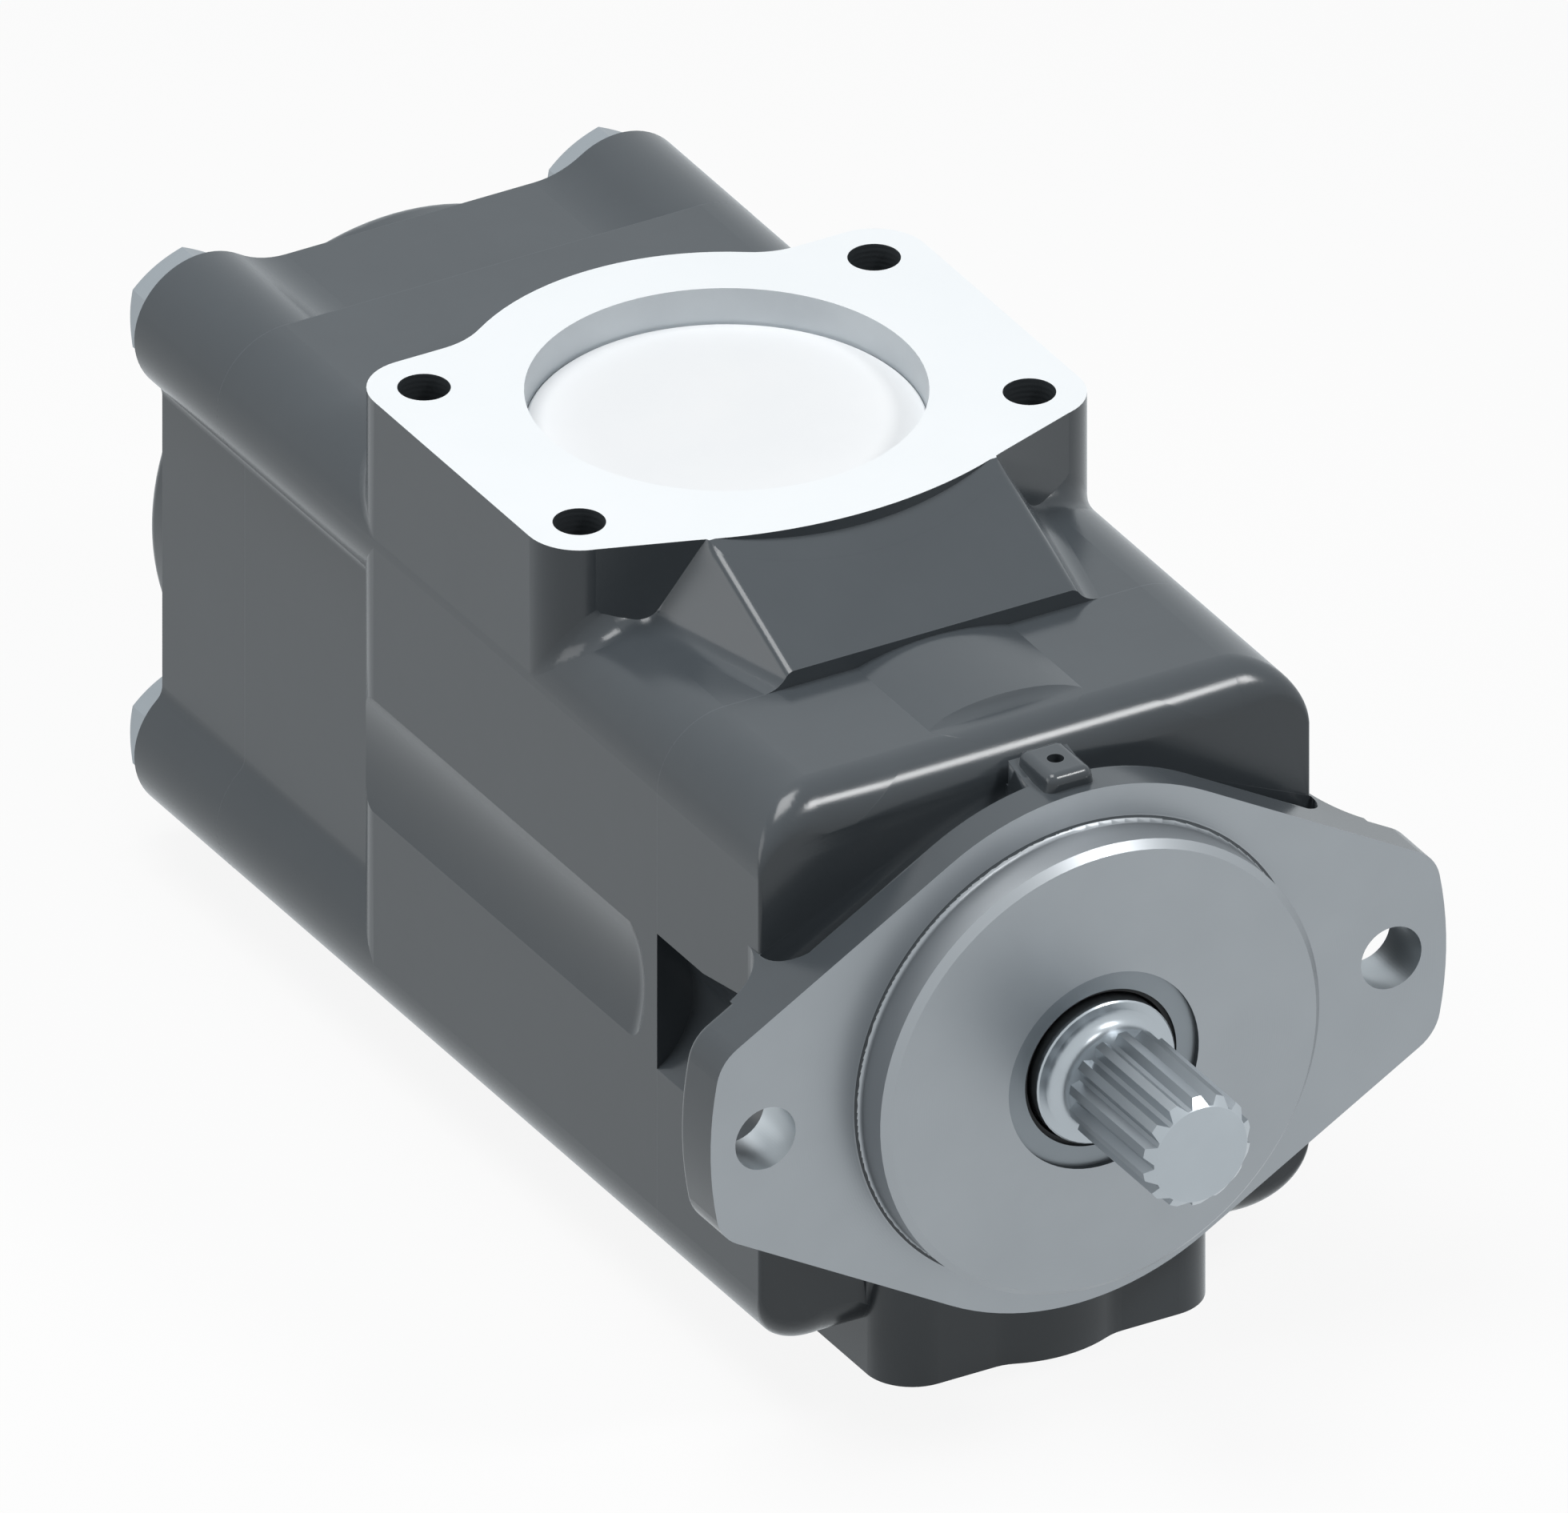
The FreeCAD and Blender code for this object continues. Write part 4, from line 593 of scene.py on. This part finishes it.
def outline_distance(place):
    """Radius of the neck's outline that runs through the place."""
    if abs(place.x) > abs(place.z) * tan(EAR_SLOPE):
        return abs(place.x) * sin(EAR_SLOPE) + abs(place.z) * cos(EAR_SLOPE)
    return sqrt(place.x ** 2 + place.z ** 2)


def is_foot_edge(start, end):
    """Inner back edge of the groove tool, along the neck."""
    return all(abs(place.y - GROOVE_BACK) < TOUCH and abs(outline_distance(place) - NECK_REACH) < FACET_SAG
               for place in (start, end))


def is_end_edge(start, end):
    """Upright front edge of the box that ends the groove."""
    return max(start.y, end.y) < GROOVE_FRONT and start.x == end.x


groove = box_tool("groove_tool", (-GROOVE_WIDE, GROOVE_FRONT, -GROOVE_TALL),
                  (GROOVE_WIDE, GROOVE_BACK, GROOVE_TALL))
combine(groove, neck_core(NECK_REACH), "DIFFERENCE")
round_edges(groove, is_foot_edge, GROOVE_FOOT, GROOVE_FOOT_STEPS)
groove_ends = box_tool("groove_ends", (-GROOVE_END, GROOVE_FRONT - MARGIN, -TOOL_TALL),
                       (GROOVE_END, GROOVE_BACK, TOOL_TALL))
round_edges(groove_ends, is_end_edge, GROOVE_END_ROUND, GROOVE_END_STEPS)
combine(groove, groove_ends, "INTERSECT")
combine(groove, box_tool("lug_room", (-LUG_CLEAR, 0, 0), (LUG_CLEAR, TOOL_DEEP, TOOL_TALL)), "DIFFERENCE")
combine(groove, box_tool("port_room", (-PORT_CLEAR, 0, -TOOL_TALL), (PORT_CLEAR, TOOL_DEEP, 0)), "DIFFERENCE")
print("groove tool:", len(groove.data.polygons), "faces")

# %% [markdown]
# Above the groove the cap's top front edge is one long rounding, free from side to side. The ridge tool
# clears what stands in front of it: a box with the rounding cut out. Further back, the swelling on the cap
# ends in a short steep toe. The toe tool is a leaning box, with its lower edge rounded for the hollow foot.

# %% Ridge and toe tools
LUG_BACK = 0.0205
RIDGE_REACH = 0.0600
RIDGE_RADIUS = 0.01162
RIDGE_FACETS = 160
RIDGE_SPARE = 0.0100
RIDGE_Y = 0.0332
RIDGE_Z = 0.0681
RIDGE_TOP = 0.0860
RIDGE_FIT = 0.00001
TOP_FACE = 0.0797
TOE_REACH = 0.0450
TOE_FOOT = 0.0385
TOE_LEAN = 0.0020
TOE_ROUND = 0.0024
TOE_STEPS = 8


def is_toe_edge(start, end):
    """Lower back edge of the toe tool."""
    return max(start.z, end.z) < TOP_FACE + MARGIN and min(start.y, end.y) > GROOVE_FRONT + MARGIN


def ridge_normal(place, facing):
    """Exact normal on the cap's rounded top edge and on the flat in front of the toe."""
    away = Vector((0, place.y - RIDGE_Y, place.z - RIDGE_Z))
    if abs(away.length - RIDGE_RADIUS) < RIDGE_FIT and away.normalized().dot(facing) > NEAR_FACING:
        return away.normalized()
    if place.z > TOP_FACE - SKIN and place.y > LUG_BACK and abs(facing.z) > SAME_FACING:
        return facing.copy()
    return None


rounding = cylinder_tool(RIDGE_FACETS, RIDGE_RADIUS, 2 * (RIDGE_REACH + RIDGE_SPARE),
                         (0, RIDGE_Y, RIDGE_Z), ALONG_X)
lug_room = box_tool("lug_room", (-LUG_CLEAR, 0, 0), (LUG_CLEAR, LUG_BACK, TOOL_TALL))
ridge = box_tool("ridge_tool", (-RIDGE_REACH, GROOVE_FRONT, RIDGE_Z), (RIDGE_REACH, RIDGE_Y, RIDGE_TOP))
combine(ridge, rounding, "DIFFERENCE")
combine(ridge, lug_room, "DIFFERENCE")
toe = box_tool("toe_tool", (-TOE_REACH, GROOVE_FRONT, TOP_FACE + SKIN), (TOE_REACH, TOE_FOOT, RIDGE_TOP))
for vertex in toe.data.vertices:
    if vertex.co.z > TOP_FACE + MARGIN and vertex.co.y > GROOVE_FRONT + MARGIN:
        vertex.co.y += TOE_LEAN
round_edges(toe, is_toe_edge, TOE_ROUND, TOE_STEPS)
print("ridge tool:", len(ridge.data.polygons), "faces, toe tool:", len(toe.data.polygons), "faces")

# %% [markdown]
# The front of the suction pad is one soft curve from corner to corner. A prism with that front fills the two
# notches beside the throat. It is a disc that takes the outline's points and is extruded down into the body.
# Before that, a wedge clears the throat's top.

# %% Front of the suction pad
PAD_TOP = cad_high.z
PAD_ROOT = 0.0720
PAD_FRONT_RADIUS = 0.1130
PAD_FRONT_CENTRE = 0.2187
PAD_CURVE_END = 0.0440
PAD_CURVE_STEPS = 11
PAD_CORNER = (0.0697, 0.1237)
PAD_BACK = [(0.0660, 0.1275), (0.0580, 0.1285), (0.0460, 0.1340), (0.0300, 0.1240)]
UPRIGHT = 0.01
THROAT_TOE_Y = 0.07307
THROAT_TOE_Z = 0.0842
THROAT_SLOPE = radians(24.5)
THROAT_REACH = 0.0460
WEDGE_BEFORE = 0.0200
WEDGE_END = 0.1160


def pad_front():
    """Half of the pad's front outline, from the middle to the corner."""
    points = []
    for step in range(PAD_CURVE_STEPS + 1):
        x = PAD_CURVE_END * step / PAD_CURVE_STEPS
        points.append((x, PAD_FRONT_CENTRE - sqrt(PAD_FRONT_RADIUS ** 2 - x * x)))
    return points + [PAD_CORNER]


def pad_prism():
    """Prism under the pad's front outline, down into the body."""
    half = pad_front()
    front = [(-x, y) for x, y in reversed(half[1:])] + half
    ring = front + PAD_BACK + [(-x, y) for x, y in reversed(PAD_BACK)]
    deselect()
    bpy.ops.mesh.primitive_circle_add(vertices=len(ring), fill_type="NGON")
    prism = bpy.context.object
    prism.name = "pad_prism"
    bake_place()
    for vertex, (x, y) in zip(prism.data.vertices, ring):
        vertex.co = (x, y, PAD_TOP)
    bpy.ops.object.mode_set(mode="EDIT")
    bpy.ops.mesh.select_all(action="SELECT")
    bpy.ops.mesh.extrude_region_move(TRANSFORM_OT_translate={"value": (0, 0, PAD_ROOT - PAD_TOP)})
    bpy.ops.mesh.select_all(action="SELECT")
    bpy.ops.mesh.normals_make_consistent(inside=False)
    leave_edit()
    return prism


def pad_normal(place, facing):
    """Exact normal on the pad's round front, and the face's own normal on the other new faces."""
    if abs(facing.z) < UPRIGHT and abs(place.x) < PAD_CURVE_END:
        away = Vector((place.x, place.y - PAD_FRONT_CENTRE, 0)).normalized()
        if away.dot(facing) > NEAR_FACING:
            return away
    return facing.copy()


def throat_wedge():
    """Room above the throat's sloped top, up to where the slope meets the pad's face."""
    wedge = box_tool("throat_wedge", (-THROAT_REACH, THROAT_TOE_Y - WEDGE_BEFORE, PAD_TOP),
                     (THROAT_REACH, WEDGE_END, TOOL_TALL))
    for vertex in wedge.data.vertices:
        if vertex.co.z < PAD_TOP + MARGIN:
            vertex.co.z = THROAT_TOE_Z + SKIN + (vertex.co.y - THROAT_TOE_Y) * tan(THROAT_SLOPE)
    return wedge


prism = pad_prism()
wedge = throat_wedge()
print("pad prism:", len(prism.data.polygons), "faces, wedge:", len(wedge.data.polygons), "faces")

# %% [markdown]
# Each finish is put on the faces that carry it, found by where they are. The places below are the machined
# planes and the axes of the bores. The cap's flange face and pilot are turned, its bolt holes are drilled
# through, and the seal's bore is painted dark grey as painted shade in the recess round the shaft.

# %% Mounting cap
FLAT = 0.0003
FACES_STRAIGHT = 0.99
PILOT_REACH = 0.0652
SEAL_BORE = 0.0276
BOLT_HOLE = 0.0095
FLANGE_BOLT_X = 0.0905
EAR_BACK = 0.0158
PORT_FACE = cad_low.z


def reach(x, z):
    """Distance from an axis, by the two measures from it."""
    return sqrt(x * x + z * z)


def on_flange_face(place, normal):
    """Flat front of the flange."""
    return normal.y < -FACES_STRAIGHT and abs(place.y) < FLAT


def on_pilot(place, normal):
    """Pilot in front of the flange."""
    return place.y < -FLAT and SEAL_BORE < reach(place.x, place.z) < PILOT_REACH


def in_bolt_hole(place, normal):
    """Wall of a flange bolt hole."""
    return reach(abs(place.x) - FLANGE_BOLT_X, place.z) < BOLT_HOLE and place.y < EAR_BACK - FLAT


def in_seal_bore(place, normal):
    """Bore behind and in front of the seal."""
    return reach(place.x, place.z) < SEAL_BORE


def on_bottom_face(place, normal):
    """Flat face round a discharge port."""
    return normal.z < -FACES_STRAIGHT and abs(place.z - PORT_FACE) < FLAT


cap = rework("mounting_cap", "mounting_cap_casting",
             [(groove, "DIFFERENCE"), (ridge, "DIFFERENCE"), (toe, "DIFFERENCE")], ridge_normal)
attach(cap, frame["nodes"]["mounting_cap"]["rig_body"])
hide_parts("mounting_cap")
repaint(cap, turned_iron, on_flange_face)
repaint(cap, turned_iron, on_pilot)
repaint(cap, bored_iron, in_bolt_hole)
# painted shade inside the seal's bore
repaint(cap, bore_painted_shade, in_seal_bore)
repaint(cap, milled_face, on_bottom_face)
print("finished", cap.name)

# %% [markdown]
# The suction pad is milled flat, so it is the brightest face of the pump. The port's wall below it is bored,
# down to the closure disc, and the four holes round the port are tapped. They are dark grey: partly the
# dull thread, partly painted shade inside the holes.

# %% Centre housing
SUCTION_Y = 0.1762
PORT_RADIUS = 0.0508
SUCTION_HOLE_X = 0.0651
SUCTION_HOLE_Y = 0.0389
TAPPED_REACH = 0.0072
TAPPED_DEPTH = 0.0200
WALL_TILT = 0.5
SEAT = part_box("suction_port_closure")[0].z


def on_suction_face(place, normal):
    """Flat top of the suction pad."""
    return normal.z > FACES_STRAIGHT and abs(place.z - PAD_TOP) < FLAT


def on_port_wall(place, normal):
    """Wall of the suction port above the closure disc."""
    return abs(reach(place.x, place.y - SUCTION_Y) - PORT_RADIUS) < FLAT and place.z > SEAT - FLAT


def in_tapped_hole(place, normal):
    """Wall of a tapped hole of the suction pad."""
    away = reach(abs(place.x) - SUCTION_HOLE_X, abs(place.y - SUCTION_Y) - SUCTION_HOLE_Y)
    return away < TAPPED_REACH and place.z > SEAT - TAPPED_DEPTH and abs(normal.z) < WALL_TILT


housing = rework("centre_housing", "centre_housing_casting", [(wedge, "DIFFERENCE"), (prism, "UNION")],
                 pad_normal)
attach(housing, frame["nodes"]["centre_housing"]["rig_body"])
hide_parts("centre_housing")
repaint(housing, milled_face, on_suction_face)
repaint(housing, bored_iron, on_port_wall)
# dull thread and painted shade inside the tapped holes
repaint(housing, thread_and_hole_shade, in_tapped_hole)
print("finished", housing.name)

# %% [markdown]
# The rear cap and the small pieces keep the frame's own nodes. Of these, only the rear cap gets a second
# finish, on the machined face round its discharge port.

# %% Rear cap, bolts and the small pieces that show
OUTER_FINISHES = {"rear_cap": painted_iron, "tie_bolts": plated_steel, "suction_port_closure": white_plastic,
                  "drive_shaft": ground_steel, "shaft_seal_case": pressed_steel,
                  "shaft_seal_lip": black_rubber}
for name, material in OUTER_FINISHES.items():
    finish_node(name, material)
repaint(frame["nodes"]["rear_cap"], milled_face, on_bottom_face)
print("finished", ", ".join(OUTER_FINISHES))

# %% [markdown]
# The bearings, the cartridges and the rings are closed in, so the frame's own nodes are kept for them. Each
# gets the finish of its real counterpart by the words in its name.

# %% Inner pieces
INNER_FINISHES = [("cage", brass), ("oring", black_rubber), ("spring", hardened_steel),
                  ("circlip", hardened_steel), ("bearing", bearing_steel), ("plate", turned_iron),
                  ("", hardened_steel)]
finished = {"mounting_cap", "centre_housing", *OUTER_FINISHES}
inner = [name for name in frame["nodes"] if name not in finished]
for name in inner:
    finish_node(name, next(material for word, material in INNER_FINISHES if word in name))
print("inner pieces finished:", len(inner))

# %% [markdown]
# The photograph is lit by a large soft light overhead, with a weaker one from the left. The front faces of
# the castings are dark, so no large light stands in front. A small lamp, in front and high on the right,
# draws the bright line along the rounded top edge of the mounting cap.

# %% Lights
LIGHT_DISTANCE = 1.3
PUMP_MIDDLE = Vector((0, 0.15, 0))


def add_area(name, towards, size, power):
    """Square area light that shines at the object from a direction."""
    data = bpy.data.lights.new(name, "AREA")
    data.size = size
    data.energy = power
    lamp = bpy.data.objects.new(name, data)
    scene.collection.objects.link(lamp)
    direction = Vector(towards).normalized()
    lamp.location = PUMP_MIDDLE + direction * LIGHT_DISTANCE
    lamp.rotation_euler = direction.to_track_quat("Z", "Y").to_euler()


add_area("overhead_softbox", (-0.2, 0.1, 1.0), 0.7, 10.5)
add_area("left_fill", (-1.0, 0.3, 0.3), 0.7, 2.5)
add_area("edge_lamp", (0.396, -0.544, 0.739), 0.25, 4.0)

# %% [markdown]
# The background is plain white. The world is white where the camera or a mirror sees it, and dim where it
# lights the object, so that the white does not wash out the shading. The floor is white to the camera too,
# grey to the light, and keeps a faint shadow of the pump.

# %% World and floor
WORLD_FILL = 0.1
FLOOR_SHADOW_SHARE = 0.1
FLOOR_SIZE = 6
FLOOR_GAP = 0.0002
FLOOR_GREY = (0.25, 0.25, 0.25, 1)
WHITE = (1, 1, 1, 1)
COOL_WHITE = (0.92, 0.97, 1.0, 1)


def light_paths(tree):
    """Two masks: what the camera sees, and what the camera or a mirror sees."""
    path = add_node(tree, "ShaderNodeLightPath")
    seen = add_node(tree, "ShaderNodeMath", {0: path.outputs["Is Camera Ray"],
                                             1: path.outputs["Is Glossy Ray"]}, operation="MAXIMUM")
    return path.outputs["Is Camera Ray"], seen.outputs["Value"]


def make_world():
    """World that looks white and lights the pump only a little."""
    world = bpy.data.worlds.new("white_studio")
    world.use_nodes = True
    tree = world.node_tree
    tree.nodes.clear()
    by_camera, seen = light_paths(tree)
    strength = add_node(tree, "ShaderNodeMapRange", {"Value": seen, "To Min": WORLD_FILL, "To Max": 1.0})
    glow = add_node(tree, "ShaderNodeBackground", {"Color": mix_colour(tree, by_camera, COOL_WHITE, WHITE),
                                                   "Strength": strength.outputs["Result"]})
    output = add_node(tree, "ShaderNodeOutputWorld")
    tree.links.new(glow.outputs["Background"], output.inputs["Surface"])
    scene.world = world


def make_floor_material():
    """Floor that looks white, but is grey to the light and keeps a share of the shadow."""
    material = bpy.data.materials.new("white_floor")
    material.use_nodes = True
    tree = material.node_tree
    tree.nodes.clear()
    by_camera, seen = light_paths(tree)
    diffuse = add_node(tree, "ShaderNodeBsdfDiffuse", {"Color": mix_colour(tree, seen, FLOOR_GREY, WHITE)})
    glow = add_node(tree, "ShaderNodeEmission", {"Color": mix_colour(tree, by_camera, COOL_WHITE, WHITE),
                                                 "Strength": 1.0})
    share = add_node(tree, "ShaderNodeMapRange", {"Value": seen, "To Min": 0.0,
                                                  "To Max": 1 - FLOOR_SHADOW_SHARE})
    mixed = add_node(tree, "ShaderNodeMixShader", {"Fac": share.outputs["Result"]})
    tree.links.new(diffuse.outputs["BSDF"], mixed.inputs[1])
    tree.links.new(glow.outputs["Emission"], mixed.inputs[2])
    output = add_node(tree, "ShaderNodeOutputMaterial")
    tree.links.new(mixed.outputs["Shader"], output.inputs["Surface"])
    return material


make_world()
deselect()
bpy.ops.mesh.primitive_plane_add(size=FLOOR_SIZE, location=(0, PUMP_MIDDLE.y, cad_low.z - FLOOR_GAP))
floor = bpy.context.object
floor.name = "studio_floor"
bake_place()
floor.data.materials.append(make_floor_material())
print("floor at height", round(cad_low.z, 4))
